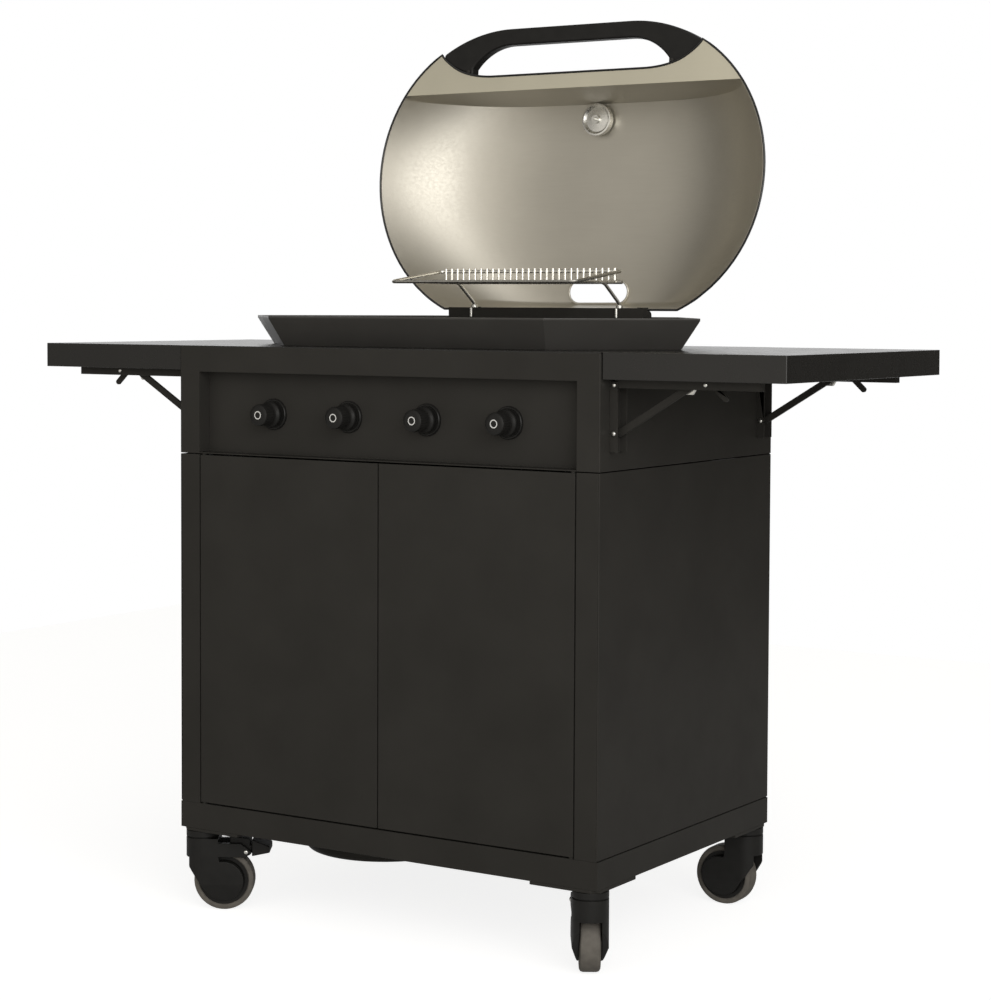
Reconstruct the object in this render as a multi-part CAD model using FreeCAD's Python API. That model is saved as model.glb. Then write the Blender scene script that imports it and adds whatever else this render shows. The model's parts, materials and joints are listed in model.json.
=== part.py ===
import FreeCAD, Part
import math
import os

# Gas grill on a wheeled cabinet with two fold-down shelves and a hinged lid.
# Millimetres. X runs to the right, Y back from the cabinet's front face, Z up from the floor.
# The finished pieces are moved in Y so that the origin lies under the middle of the whole outline.

V = FreeCAD.Vector
ALONG_X = V(1, 0, 0)
ALONG_Y = V(0, 1, 0)
ALONG_Z = V(0, 0, 1)

# Cabinet
CABINET_WIDTH = 800.0
CABINET_DEPTH = 570.0
TABLE_HEIGHT = 939.0
HOUSING_HEIGHT = 177.0
BASE_DEPTH = 43.0
SHEET = 2.0
STILE_WIDTH = 40.0
STILE_RETURN = 20.0
FASCIA_HEIGHT = 43.0
PANEL_RECESS = 27.0
PANEL_LAP = 10.0

HALF_WIDTH = CABINET_WIDTH / 2
INNER_HALF = HALF_WIDTH - SHEET
OPENING_HALF = HALF_WIDTH - STILE_WIDTH
DECK_BOTTOM = TABLE_HEIGHT - SHEET
OPENING_TOP = TABLE_HEIGHT - FASCIA_HEIGHT
SEAM_HEIGHT = TABLE_HEIGHT - HOUSING_HEIGHT

# The wheels and the height of the casters above them set how high the base stands
WHEEL_RADIUS = 50.0
CASTER_RISE = 39.0
BASE_BOTTOM = 2 * WHEEL_RADIUS + CASTER_RISE
BASE_TOP = BASE_BOTTOM + BASE_DEPTH

# Doors
DOOR_GAP = 2.5
DOOR_THICK = 18.0
DOOR_PIVOT_INSET = 5.0
DOOR_PIN_RADIUS = 2.0
DOOR_PIN_LENGTH = 12.0
DOOR_WASHER_RADIUS = 4.0
DOOR_WASHER_PLAY = 0.3
DOOR_OUTER = OPENING_HALF - DOOR_GAP
DOOR_BOTTOM = BASE_TOP + DOOR_GAP
DOOR_TOP = SEAM_HEIGHT - DOOR_GAP
DOOR_PIVOT_X = DOOR_OUTER - DOOR_PIVOT_INSET

# Running fit of every pin, stem and spindle, and the gap left between other neighbours
FIT = 0.05
GAP = 0.3

# Gas bottle well
WELL_X = -210.0
WELL_Y = 322.0
WELL_RADIUS = 140.0
WELL_DROP = 67.0
WELL_LIP = 14.0
WELL_EDGE_RADIUS = 14.0
WELL_FLOOR = BASE_BOTTOM - WELL_DROP

# Casters
PLATE_SIDE = 118.0
PLATE_THICK = 5.0
PLATE_CHAMFER = 12.0
CASTER_INSET = 26.0
CASTER_TRAIL = 36.0
WHEEL_WIDTH = 32.0
TYRE_ROUND = 6.0
HUB_RADIUS = 36.0
HUB_BOSS_RADIUS = 13.0
HUB_RECESS = 5.0
AXLE_RADIUS = 4.0
STEM_RADIUS = 6.0
STEM_HEAD_RADIUS = 10.0
STEM_HEAD_THICK = 4.0
SWIVEL_RADIUS = 28.0
SWIVEL_THICK = 12.0
SWIVEL_GROOVE = 1.5
FORK_WHEEL_GAP = 1.0
FORK_BRIDGE_GAP = 6.0
FORK_BROW_HEIGHT = 33.0
FORK_BROW_THICK = 18.0
FORK_NECK_HEIGHT = 40.0
FORK_BACK_HEIGHT = 30.0
FORK_END_RADIUS = 33.5
FORK_END_EDGE = 2.0
FORK_TAPER = 28.5
BRAKE_PIN_RADIUS = 2.5
BRAKE_PIN_OUT = 74.0
BRAKE_PIN_DOWN = 34.0
BRAKE_BOSS_RADIUS = 9.0
BRAKE_ARM_DROP = 8.0
BRAKE_FRONT = 46.0
BRAKE_BEND = 80.0
BRAKE_REACH = 113.0
BRAKE_RISE = 24.0
BRAKE_DROP = 16.0
BRAKE_THICK = 10.0
BRAKE_PAD_DEPTH = 16.0
BRAKE_PAD_HALF = 24.0
PLATE_BOTTOM = BASE_BOTTOM - PLATE_THICK
CASTER_X = HALF_WIDTH - CASTER_INSET
CASTER_FRONT = CASTER_INSET
CASTER_REAR = CABINET_DEPTH - CASTER_INSET
# Heading of each trailing wheel in degrees from X while the grill stands still
CASTER_HEADINGS = {"front_left": 32.4, "front_right": 122.4, "rear_left": 200.0, "rear_right": 182.0}
BRAKED = ("front_left", "front_right")

# Basin: a flared six-sided tray, given by its rim
RIM_RISE = 49.0
RIM_FRONT = 61.0
RIM_BACK_INSET = 45.0
RIM_WIDEST = 248.0
RIM_OVERHANG = 34.0
RIM_FRONT_HALF = 264.0
RIM_BACK_HALF = 250.0
BASIN_FLARE = 27.0
LIP_HEIGHT = 4.0
LIP_THICK = 3.0
RIM_HEIGHT = TABLE_HEIGHT + RIM_RISE
RIM_BACK = CABINET_DEPTH - RIM_BACK_INSET
RIM_WIDEST_HALF = HALF_WIDTH + RIM_OVERHANG

# Firebox and what stands in it
FIREBOX_SIDE_INSET = 2.0
FIREBOX_FRONT_INSET = 61.0
FIREBOX_BACK_INSET = 93.0
FIREBOX_FLANGE = 8.0
LEDGE_WIDTH = 10.0
LEDGE_RISE = 41.0
GREASE_HALF_WIDTH = 100.0
GREASE_LENGTH = 80.0
FLANGE_TOP = TABLE_HEIGHT + 2 * SHEET
KNOB_COUNT = 4
BURNER_SIDE_INSET = 37.0
BURNER_RADIUS = 16.0
BURNER_LIFT = 13.0
VENTURI_RADIUS = 11.0
VENTURI_LENGTH = 20.0
BURNER_WALL = 2.0
TAMER_HALF_WIDTH = 34.0
TAMER_HEIGHT = 26.0
FIREBOX_HALF = RIM_FRONT_HALF - FIREBOX_SIDE_INSET
FIREBOX_FRONT = RIM_FRONT + FIREBOX_FRONT_INSET
FIREBOX_BACK = RIM_BACK - FIREBOX_BACK_INSET
KNOB_HEIGHT = (SEAM_HEIGHT + OPENING_TOP) / 2
KNOB_PITCH = 2 * (FIREBOX_HALF - BURNER_SIDE_INSET) / (KNOB_COUNT - 1)
KNOB_PLACES = [KNOB_PITCH * (i - (KNOB_COUNT - 1) / 2) for i in range(KNOB_COUNT)]
FIREBOX_FLOOR = KNOB_HEIGHT - BURNER_RADIUS - BURNER_LIFT
LEDGE_HEIGHT = KNOB_HEIGHT + LEDGE_RISE

# Cooking surfaces
GRATE_OVERLAP = 6.0
GRATE_THICK = 14.0
GRATE_BARS = 15
GRATE_BAR_WIDTH = 8.0
GRATE_FRAME = 12.0
HOTPLATE_RIM = 10.0
HOTPLATE_FLOOR = 6.0

# Drip tray
TRAY_HALF = 150.0
TRAY_FRONT = 180.0
TRAY_TOP_GAP = 6.0
TRAY_PULL = 15.0
RUNNER_ABOVE_SEAM = 8.0
RUNNER_LIP = 12.0
RUNNER_END_INSET = 15.0
RUNNER_LOW = SEAM_HEIGHT + RUNNER_ABOVE_SEAM
RUNNER_END = CABINET_DEPTH - RUNNER_END_INSET
TRAY_BOTTOM = RUNNER_LOW + SHEET
TRAY_TOP = FIREBOX_FLOOR - TRAY_TOP_GAP

# Gas train
MANIFOLD_Y = 58.0
MANIFOLD_RADIUS = 9.0
MANIFOLD_BORE = 7.0
MANIFOLD_LEFT_END = 35.0
MANIFOLD_RIGHT_END = 95.0
INLET_RADIUS = 8.0
INLET_LENGTH = 24.0
COLLAR_RADIUS = 11.0
COLLAR_THICK = 5.0
HOSE_HOLE_RADIUS = 22.0
VALVE_HALF = 11.0
VALVE_FRONT = 42.0
VALVE_LENGTH = 32.0
VALVE_HALF_HEIGHT = 13.0
JET_RADIUS = 5.0
JET_LENGTH = 34.0
SPINDLE_RADIUS = 4.0
SPINDLE_FRONT = -6.0
SPINDLE_GRIP = 8.0
SPINDLE_TRAVEL = 3.0
BEZEL_RADIUS = 25.5
BEZEL_THICK = 5.0
BEZEL_ROUND = 2.0
KNOB_RADIUS = 17.5
KNOB_SKIRT_RADIUS = 21.0
KNOB_SKIRT = 6.0
KNOB_FACE = -17.0
KNOB_BACK = 17.0
KNOB_ROUND = 2.5
MANIFOLD_LEFT = KNOB_PLACES[0] - MANIFOLD_LEFT_END
MANIFOLD_RIGHT = KNOB_PLACES[-1] + MANIFOLD_RIGHT_END
MANIFOLD_Z = KNOB_HEIGHT - VALVE_HALF_HEIGHT - MANIFOLD_RADIUS
INLET_START = MANIFOLD_Y + MANIFOLD_RADIUS + COLLAR_THICK
VALVE_BACK = VALVE_FRONT + VALVE_LENGTH
BURNER_FRONT = FIREBOX_FRONT - VENTURI_LENGTH
BURNER_BACK = FIREBOX_BACK - SHEET - GAP

# Rack rail at the back of the basin, and the wire rack on it
RAIL_HALF = 197.0
RAIL_INSET = 18.0
RAIL_DEPTH = 16.0
RAIL_RISE = 15.0
RACK_LEG_X = 147.0
RACK_LEG_DEPTH = 14.0
RACK_LEG_BEND_RISE = 7.0
RACK_HALF = 182.0
RACK_DEPTH = 153.0
RACK_RAIL_GAP = 45.0
RACK_RISE = 58.0
RACK_FENCE = 24.0
RACK_WIRES = 31
WIRE_RADIUS = 1.5
FRAME_WIRE_RADIUS = 3.0
RAIL_BACK = RIM_BACK - RAIL_INSET
RAIL_FRONT = RAIL_BACK - RAIL_DEPTH
RAIL_TOP = RIM_HEIGHT + RAIL_RISE
RACK_LEG_Y = (RAIL_FRONT + RAIL_BACK) / 2
RACK_LEG_BEND = RAIL_TOP + RACK_LEG_BEND_RISE
RACK_BACK = RAIL_FRONT - RACK_RAIL_GAP
RACK_FRONT = RACK_BACK - RACK_DEPTH
RACK_HEIGHT = RIM_HEIGHT + RACK_RISE
RACK_FENCE_TOP = RACK_HEIGHT + RACK_FENCE

# Lid, drawn closed with distances measured forward from the hinge line
HINGE_BEHIND_RIM = 12.0
HINGE_RISE = 2.0
LID_OPEN = 94.0
LID_BACK = 10.0
LID_MIDDLE = 247.0
LID_SIDE_HALF = 394.0
LID_BACK_HALF = 240.0
LID_FRONT_HALF = 268.0
LID_FRONT_INSET = 7.0
LID_NOTCH_HALF = 166.0
LID_NOTCH_DEPTH = 44.0
LID_NOTCH_ROUND = 190.0
LID_SHEET = 2.0
HINGE_Y = RIM_BACK + HINGE_BEHIND_RIM
HINGE_Z = RIM_HEIGHT + HINGE_RISE
LID_FRONT = HINGE_Y - RIM_FRONT - LID_FRONT_INSET
LID_NOTCH = LID_FRONT - LID_NOTCH_DEPTH
FLANGE_WIDTH = 71.0
DOME_FRONT = LID_FRONT - FLANGE_WIDTH
DOME_FRONT_HALF = 340.0
DOME_EDGE = 4.0
DOME_HEIGHT = 142.0
DOME_SET_BACK = 20.0
# Sections of the dome from the rim to the roof, each by its share of the rim's half width
DOME_SHARES = (1.0, 0.96, 0.91, 0.84, 0.74, 0.60)
VENT_HALF = 61.0
VENT_FRONT = 75.0
VENT_BACK = 37.0
LUG_X = 160.0
LUG_WIDTH = 20.0
LUG_RADIUS = 7.5
HINGE_PIN_RADIUS = 3.0
POST_SHEET = 4.0
POST_HALF = 8.0
POST_WEB_DROP = 20.0
POST_FOOT = 14.0

# Lid handle and thermometer
HANDLE_REACH = 40.0
HANDLE_BAR = 29.0
HANDLE_FLAT = 120.0
HANDLE_END_INSET = 6.0
HANDLE_FOOT_X = 199.0
HANDLE_FOOT_REACH = -28.0
HANDLE_PAD = 14.0
HANDLE_THICK = 22.0
HANDLE_END_X = LID_FRONT_HALF - HANDLE_END_INSET
THERMO_INSET = 46.0
THERMO_DIAL_RADIUS = 26.0
THERMO_DIAL_THICK = 9.0
THERMO_CAN_RADIUS = 24.0
THERMO_CAN_THICK = 14.0
THERMO_NECK_RADIUS = 8.0
THERMO_PROBE_RADIUS = 2.5
THERMO_PROBE_LENGTH = 40.0
THERMO_FORWARD = DOME_FRONT - THERMO_INSET

# Shelves and their folding brackets
SHELF_LENGTH = 300.0
SHELF_FRONT = 3.0
SHELF_BACK_INSET = 7.0
SHELF_THICK = 40.0
SHELF_GAP = 2.0
BRACKET_FRONT_INSET = 24.0
BRACKET_BACK_INSET = 20.0
BRACKET_WIDTH = 30.0
LEG_DEPTH = 14.0
LEG_BELOW_PIVOT = 28.0
LEG_TOP_GAP = 3.0
PIVOT_OUT = 8.0
PIVOT_DOWN = 8.5
STRUT_PIVOT_DOWN = 72.0
PIVOT_PIN_RADIUS = 3.0
RIVET_HEAD_RADIUS = 5.0
RIVET_HEAD_THICK = 1.5
RAIL_END_INSET = 54.0
RAIL_THICK = 13.0
RAIL_BOSS_RADIUS = 5.5
RAIL_WIDTH = 14.0
STRUT_WIDTH = 11.0
STRUT_THICK = 5.0
STRUT_END_OUT = 115.0
STRUT_END_DOWN = 2.0
LEVER_OUT = 150.0
LEVER_UP = 3.5
LEVER_END_OUT = 172.0
LEVER_END_DOWN = 17.0
LEVER_WIDTH = 9.0
SHELF_BACK = CABINET_DEPTH - SHELF_BACK_INSET
SHELF_UNDER = TABLE_HEIGHT - SHELF_THICK
SHELF_PIVOT_X = HALF_WIDTH + PIVOT_OUT
SHELF_PIVOT_Z = SHELF_UNDER - PIVOT_DOWN
STRUT_PIVOT_Z = SHELF_PIVOT_Z - STRUT_PIVOT_DOWN
LEVER_PIVOT_Z = SHELF_PIVOT_Z + LEVER_UP
LEG_BOTTOM = STRUT_PIVOT_Z - LEG_BELOW_PIVOT
RAIL_END_X = HALF_WIDTH + SHELF_LENGTH - RAIL_END_INSET
BRACKET_PLACES = (SHELF_FRONT + BRACKET_FRONT_INSET, SHELF_BACK - BRACKET_BACK_INSET - BRACKET_WIDTH)


# Building blocks

def box(x0, x1, y0, y1, z0, z1):
    return Part.makeBox(x1 - x0, y1 - y0, z1 - z0, V(x0, y0, z0))


def rod(radius, start, end):
    """Cylinder between two points."""
    line = V(*end) - V(*start)
    return Part.makeCylinder(radius, line.Length, V(*start), line)


def prism_y(points, y0, y1):
    """Solid with an outline in X and Z, from y0 to y1."""
    corners = [V(x, y0, z) for x, z in points]
    face = Part.Face(Part.makePolygon(corners + corners[:1]))
    return face.extrude(V(0, y1 - y0, 0))


def prism_z(points, z0, z1):
    """Solid with an outline in X and Y, from z0 to z1."""
    corners = [V(x, y, z0) for x, y in points]
    face = Part.Face(Part.makePolygon(corners + corners[:1]))
    return face.extrude(V(0, 0, z1 - z0))


def join(first, *others):
    return first.fuse(list(others)).removeSplitter()


def mirrored(shape):
    return shape.mirror(V(0, 0, 0), ALONG_X)


def both_sides(shape):
    return [shape, mirrored(shape)]


def bar_y(start, end, width, y0, y1):
    """Flat bar with round ends between two points (x, z), from y0 to y1."""
    middle = Part.makeBox((V(*end) - V(*start)).Length, y1 - y0, width)
    middle.translate(V(0, 0, -width / 2))
    angle = math.degrees(math.atan2(end[1] - start[1], end[0] - start[0]))
    middle.rotate(V(0, 0, 0), ALONG_Y, -angle)
    middle.translate(V(start[0], y0, start[1]))
    ends = [rod(width / 2, (x, y0, z), (x, y1, z)) for x, z in (start, end)]
    return join(middle, *ends)


# Base and casters

def base_pan():
    outer = box(-HALF_WIDTH, HALF_WIDTH, 0, CABINET_DEPTH, BASE_BOTTOM, BASE_TOP)
    inner = box(-INNER_HALF, INNER_HALF, SHEET, CABINET_DEPTH - SHEET, BASE_BOTTOM, BASE_TOP - SHEET)
    hole = rod(WELL_RADIUS + GAP, (WELL_X, WELL_Y, BASE_BOTTOM), (WELL_X, WELL_Y, BASE_TOP))
    return outer.cut([inner, hole])


def bottle_well():
    """Round dish that hangs by its lip in the hole of the base pan."""
    bottom = WELL_FLOOR - SHEET
    dish = rod(WELL_RADIUS, (WELL_X, WELL_Y, bottom), (WELL_X, WELL_Y, BASE_TOP))
    dish = dish.makeFillet(WELL_EDGE_RADIUS, [min(dish.Edges, key=lambda edge: edge.CenterOfMass.z)])
    lip = rod(WELL_RADIUS + WELL_LIP, (WELL_X, WELL_Y, BASE_TOP), (WELL_X, WELL_Y, BASE_TOP + SHEET))
    hollow = rod(WELL_RADIUS - SHEET, (WELL_X, WELL_Y, WELL_FLOOR), (WELL_X, WELL_Y, BASE_TOP + SHEET))
    rounding = WELL_EDGE_RADIUS - SHEET
    hollow = hollow.makeFillet(rounding, [min(hollow.Edges, key=lambda edge: edge.CenterOfMass.z)])
    return join(dish, lip).cut(hollow)


def caster_places():
    """Stem axis of each caster in X and Y."""
    return {
        "front_left": (-CASTER_X, CASTER_FRONT),
        "front_right": (CASTER_X, CASTER_FRONT),
        "rear_left": (-CASTER_X, CASTER_REAR),
        "rear_right": (CASTER_X, CASTER_REAR),
    }


def caster_plates():
    """Four corner plates, each with its outer corner cut off and a hole for the stem."""
    plates = []
    for x, y in caster_places().values():
        side = math.copysign(1, x)
        edge_y, inward = (0, 1) if y < CABINET_DEPTH / 2 else (CABINET_DEPTH, -1)
        corner_x = side * HALF_WIDTH
        outline = [
            (corner_x - side * PLATE_CHAMFER, edge_y),
            (corner_x, edge_y + inward * PLATE_CHAMFER),
            (corner_x, edge_y + inward * PLATE_SIDE),
            (corner_x - side * PLATE_SIDE, edge_y + inward * PLATE_SIDE),
            (corner_x - side * PLATE_SIDE, edge_y),
        ]
        plate = prism_z(outline, PLATE_BOTTOM, BASE_BOTTOM)
        plates.append(plate.cut(rod(STEM_RADIUS + FIT, (x, y, PLATE_BOTTOM), (x, y, BASE_BOTTOM))))
    return Part.makeCompound(plates)


def set_caster(shape, name):
    """Turn a piece drawn about the stem axis to its heading and put it at its corner."""
    x, y = caster_places()[name]
    shape.rotate(V(0, 0, 0), ALONG_Z, CASTER_HEADINGS[name])
    shape.translate(V(x, y, 0))
    return shape


def tangent_spot(start, centre, radius):
    """Lowest spot where a line from the start, left of a circle, touches that circle."""
    across, up = start[0] - centre[0], start[1] - centre[1]
    angle = math.atan2(up, across) + math.acos(radius / math.hypot(across, up))
    return centre[0] + radius * math.cos(angle), centre[1] + radius * math.sin(angle)


def fork_profile(top, half, braked):
    """Fork as seen from the side, as wide as the swivel: hood, cheeks with round ends and brake arms."""
    axle = (CASTER_TRAIL, WHEEL_RADIUS)
    neck = (-SWIVEL_RADIUS, top - FORK_NECK_HEIGHT)
    outline = [
        (-SWIVEL_RADIUS, top),
        (SWIVEL_RADIUS, top),
        (SWIVEL_RADIUS, top - FORK_BACK_HEIGHT),
        axle,
        tangent_spot(neck, axle, FORK_END_RADIUS),
        neck,
    ]
    end = rod(FORK_END_RADIUS, (CASTER_TRAIL, -half, WHEEL_RADIUS), (CASTER_TRAIL, half, WHEEL_RADIUS))
    profile = join(prism_y(outline, -half, half), end)
    if not braked:
        return profile
    pin_z = PLATE_BOTTOM - BRAKE_PIN_DOWN
    arm_top = top - BRAKE_ARM_DROP
    arm = [
        (0, arm_top),
        (BRAKE_PIN_OUT - BRAKE_BOSS_RADIUS, arm_top),
        (BRAKE_PIN_OUT + BRAKE_BOSS_RADIUS, pin_z),
        (BRAKE_PIN_OUT, pin_z - BRAKE_BOSS_RADIUS),
        (0, pin_z - BRAKE_BOSS_RADIUS),
    ]
    return join(profile, prism_y(arm, -half, half))


def fork_room(top, slot):
    """Space between the cheeks: open in front below the brow and open on top behind the hood."""
    far = BRAKE_PIN_OUT + 2 * BRAKE_BOSS_RADIUS
    brow_back = FORK_BROW_THICK - SWIVEL_RADIUS
    bridge_bottom = 2 * WHEEL_RADIUS + FORK_BRIDGE_GAP
    return [
        box(-SWIVEL_RADIUS, far, -slot, slot, 0, top - FORK_BROW_HEIGHT),
        box(brow_back, far, -slot, slot, 0, bridge_bottom),
        box(SWIVEL_RADIUS, far, -slot, slot, 0, top),
    ]


def fork_body(braked):
    """Moulded fork, drawn trailing along X, round in front and drawn in towards its lower end."""
    top = PLATE_BOTTOM - GAP - SWIVEL_THICK
    half = SWIVEL_RADIUS
    slot = WHEEL_WIDTH / 2 + FORK_WHEEL_GAP
    edge = slot + FORK_END_EDGE
    far = BRAKE_PIN_OUT + 2 * BRAKE_BOSS_RADIUS
    end = WHEEL_RADIUS - FORK_END_RADIUS
    plan = join(rod(half, (0, 0, 0), (0, 0, top)), box(0, far, -half, half, 0, top))
    right = [(half, top), (half, end + FORK_TAPER), (edge, end), (edge, 0)]
    front = prism_y(right + [(-y, z) for y, z in reversed(right)], -far, half)
    front.rotate(V(0, 0, 0), ALONG_Z, 90)
    body = fork_profile(top, half, braked).common(plan).common(front)
    return body.cut(fork_room(top, slot))


def caster_fork(name):
    """Stem, grooved swivel, fork and riveted axle; front casters also carry the brake pin."""
    swivel_top = PLATE_BOTTOM - GAP
    swivel_bottom = swivel_top - SWIVEL_THICK
    groove_top = swivel_bottom + SWIVEL_GROOVE
    half = SWIVEL_RADIUS
    pieces = [
        rod(SWIVEL_RADIUS, (0, 0, groove_top), (0, 0, swivel_top)),
        rod(SWIVEL_RADIUS - SWIVEL_GROOVE, (0, 0, swivel_bottom), (0, 0, groove_top)),
        rod(STEM_RADIUS, (0, 0, swivel_top), (0, 0, BASE_BOTTOM + GAP)),
        rod(STEM_HEAD_RADIUS, (0, 0, BASE_BOTTOM + GAP), (0, 0, BASE_BOTTOM + GAP + STEM_HEAD_THICK)),
        fork_body(name in BRAKED),
        rod(AXLE_RADIUS, (CASTER_TRAIL, -half, WHEEL_RADIUS), (CASTER_TRAIL, half, WHEEL_RADIUS)),
    ]
    if name in BRAKED:
        pin_z = PLATE_BOTTOM - BRAKE_PIN_DOWN
        pieces.append(rod(BRAKE_PIN_RADIUS, (BRAKE_PIN_OUT, -half, pin_z), (BRAKE_PIN_OUT, half, pin_z)))
    return set_caster(join(*pieces), name)


def caster_wheel(name):
    """Moulded wheel with a bonded tyre and a bored hub."""
    half = WHEEL_WIDTH / 2
    centre = (CASTER_TRAIL, WHEEL_RADIUS)

    def disc(radius, y0, y1):
        return rod(radius, (centre[0], y0, centre[1]), (centre[0], y1, centre[1]))

    wheel = disc(WHEEL_RADIUS, -half, half)
    rims = [edge for edge in wheel.Edges if edge.Closed and abs(abs(edge.CenterOfMass.y) - half) < FIT]
    wheel = wheel.makeFillet(TYRE_ROUND, rims)
    for y0, y1 in ((-half, HUB_RECESS - half), (half - HUB_RECESS, half)):
        wheel = wheel.cut(disc(HUB_RADIUS, y0, y1).cut(disc(HUB_BOSS_RADIUS, y0, y1)))
    return set_caster(wheel.cut(disc(AXLE_RADIUS + FIT, -half, half)), name)


def caster_brake(name):
    """Foot pedal between the fork's arms, with a wide pad at its end; it turns on the brake pin."""
    half = WHEEL_WIDTH / 2 + FORK_WHEEL_GAP - GAP
    pin_z = PLATE_BOTTOM - BRAKE_PIN_DOWN
    top = pin_z + BRAKE_RISE
    tip = top - BRAKE_DROP
    arm = [
        (BRAKE_FRONT, top),
        (BRAKE_BEND, top - BRAKE_DROP / 4),
        (BRAKE_BEND, pin_z),
        (BRAKE_FRONT, top - BRAKE_THICK),
    ]
    pad = [
        (BRAKE_PIN_OUT + BRAKE_BOSS_RADIUS + GAP, top - BRAKE_DROP / 4),
        (BRAKE_REACH, tip),
        (BRAKE_REACH, tip - BRAKE_THICK),
        (BRAKE_PIN_OUT + BRAKE_BOSS_RADIUS + GAP, tip - BRAKE_PAD_DEPTH),
    ]
    pin_ends = ((BRAKE_PIN_OUT, -half, pin_z), (BRAKE_PIN_OUT, half, pin_z))
    pedal = join(
        rod(BRAKE_BOSS_RADIUS, *pin_ends),
        prism_y(arm, -half, half),
        box(BRAKE_PIN_OUT, BRAKE_PIN_OUT + 2 * BRAKE_BOSS_RADIUS, -half, half, pin_z, tip),
        prism_y(pad, -BRAKE_PAD_HALF, BRAKE_PAD_HALF),
    )
    return set_caster(pedal.cut(rod(BRAKE_PIN_RADIUS + FIT, *pin_ends)), name)


# Lower cabinet

def side_panel():
    """Right side of the lower cabinet."""
    return box(INNER_HALF, HALF_WIDTH, 0, CABINET_DEPTH, BASE_TOP, SEAM_HEIGHT)


def back_panel():
    return box(-INNER_HALF, INNER_HALF, CABINET_DEPTH - SHEET, CABINET_DEPTH, BASE_TOP, SEAM_HEIGHT)


def stile():
    """Right front stile: face plate with a folded return beside the door."""
    face = box(OPENING_HALF, INNER_HALF, 0, SHEET, BASE_TOP, SEAM_HEIGHT)
    fold = box(OPENING_HALF, OPENING_HALF + SHEET, SHEET, SHEET + STILE_RETURN, BASE_TOP, SEAM_HEIGHT)
    return join(face, fold)


def door():
    """Right door: shallow pan, open at the back, with a pivot hole in its top and bottom fold."""
    inner_edge = DOOR_GAP / 2
    pan = box(inner_edge, DOOR_OUTER, 0, DOOR_THICK, DOOR_BOTTOM, DOOR_TOP)
    hollow = box(
        inner_edge + SHEET, DOOR_OUTER - SHEET, SHEET, DOOR_THICK, DOOR_BOTTOM + SHEET, DOOR_TOP - SHEET
    )
    pivot_low = (DOOR_PIVOT_X, DOOR_PIVOT_INSET, DOOR_BOTTOM)
    pivot_high = (DOOR_PIVOT_X, DOOR_PIVOT_INSET, DOOR_TOP)
    return pan.cut([hollow, rod(DOOR_PIN_RADIUS + FIT, pivot_low, pivot_high)])


def door_hinge_pins():
    """Top and bottom pivot pin of each door, with a washer that spaces the door."""
    pins = []
    for start, inward in ((BASE_TOP, 1), (SEAM_HEIGHT, -1)):
        foot = (DOOR_PIVOT_X, DOOR_PIVOT_INSET, start)
        washer_end = (DOOR_PIVOT_X, DOOR_PIVOT_INSET, start + inward * (DOOR_GAP - DOOR_WASHER_PLAY))
        pin_end = (DOOR_PIVOT_X, DOOR_PIVOT_INSET, start + inward * DOOR_PIN_LENGTH)
        pin = join(rod(DOOR_WASHER_RADIUS, foot, washer_end), rod(DOOR_PIN_RADIUS, foot, pin_end))
        pins += both_sides(pin)
    return Part.makeCompound(pins)


# Upper housing

def housing_side():
    """Right side of the housing round the firebox."""
    return box(INNER_HALF, HALF_WIDTH, 0, CABINET_DEPTH, SEAM_HEIGHT, DECK_BOTTOM)


def housing_back():
    """Back of the housing, with the opening for the drip tray and a round hole behind the gas inlet."""
    inside = CABINET_DEPTH - SHEET
    back = box(-INNER_HALF, INNER_HALF, inside, CABINET_DEPTH, SEAM_HEIGHT, DECK_BOTTOM)
    half = TRAY_HALF + SHEET
    tray_opening = box(-half, half, inside, CABINET_DEPTH, RUNNER_LOW - SHEET, FIREBOX_FLOOR)
    hose_start = (MANIFOLD_RIGHT, inside, MANIFOLD_Z)
    hose_hole = rod(HOSE_HOLE_RADIUS, hose_start, (MANIFOLD_RIGHT, CABINET_DEPTH, MANIFOLD_Z))
    return back.cut([tray_opening, hose_hole])


def front_fascia():
    """Frame round the control recess: top rail, two stiles and the folds that lead back to the panel."""
    face = box(-INNER_HALF, INNER_HALF, 0, SHEET, SEAM_HEIGHT, DECK_BOTTOM)
    opening = box(-OPENING_HALF, OPENING_HALF, 0, SHEET, SEAM_HEIGHT, OPENING_TOP)
    top_fold = box(-OPENING_HALF, OPENING_HALF, SHEET, PANEL_RECESS, OPENING_TOP, OPENING_TOP + SHEET)
    side_fold = box(
        OPENING_HALF, OPENING_HALF + SHEET, SHEET, PANEL_RECESS, SEAM_HEIGHT + SHEET, OPENING_TOP + SHEET
    )
    return join(face.cut(opening), top_fold, *both_sides(side_fold))


def control_panel():
    """Recessed panel with a ledge along its foot and a hole for each spindle."""
    half = OPENING_HALF + PANEL_LAP
    plate = box(-half, half, PANEL_RECESS, PANEL_RECESS + SHEET, SEAM_HEIGHT, OPENING_TOP + PANEL_LAP)
    ledge_half = OPENING_HALF - GAP
    ledge = box(-ledge_half, ledge_half, 0, PANEL_RECESS, SEAM_HEIGHT, SEAM_HEIGHT + SHEET)
    holes = [spindle_hole(x, PANEL_RECESS, PANEL_RECESS + SHEET) for x in KNOB_PLACES]
    return join(plate, ledge).cut(holes)


def spindle_hole(x, y0, y1):
    return rod(SPINDLE_RADIUS + 2 * GAP, (x, y0, KNOB_HEIGHT), (x, y1, KNOB_HEIGHT))


def firebox_opening(z0, z1):
    """Clearance cut for the firebox in the sheets that it hangs through."""
    half = FIREBOX_HALF + GAP
    return box(-half, half, FIREBOX_FRONT - GAP, FIREBOX_BACK + GAP, z0, z1)


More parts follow.
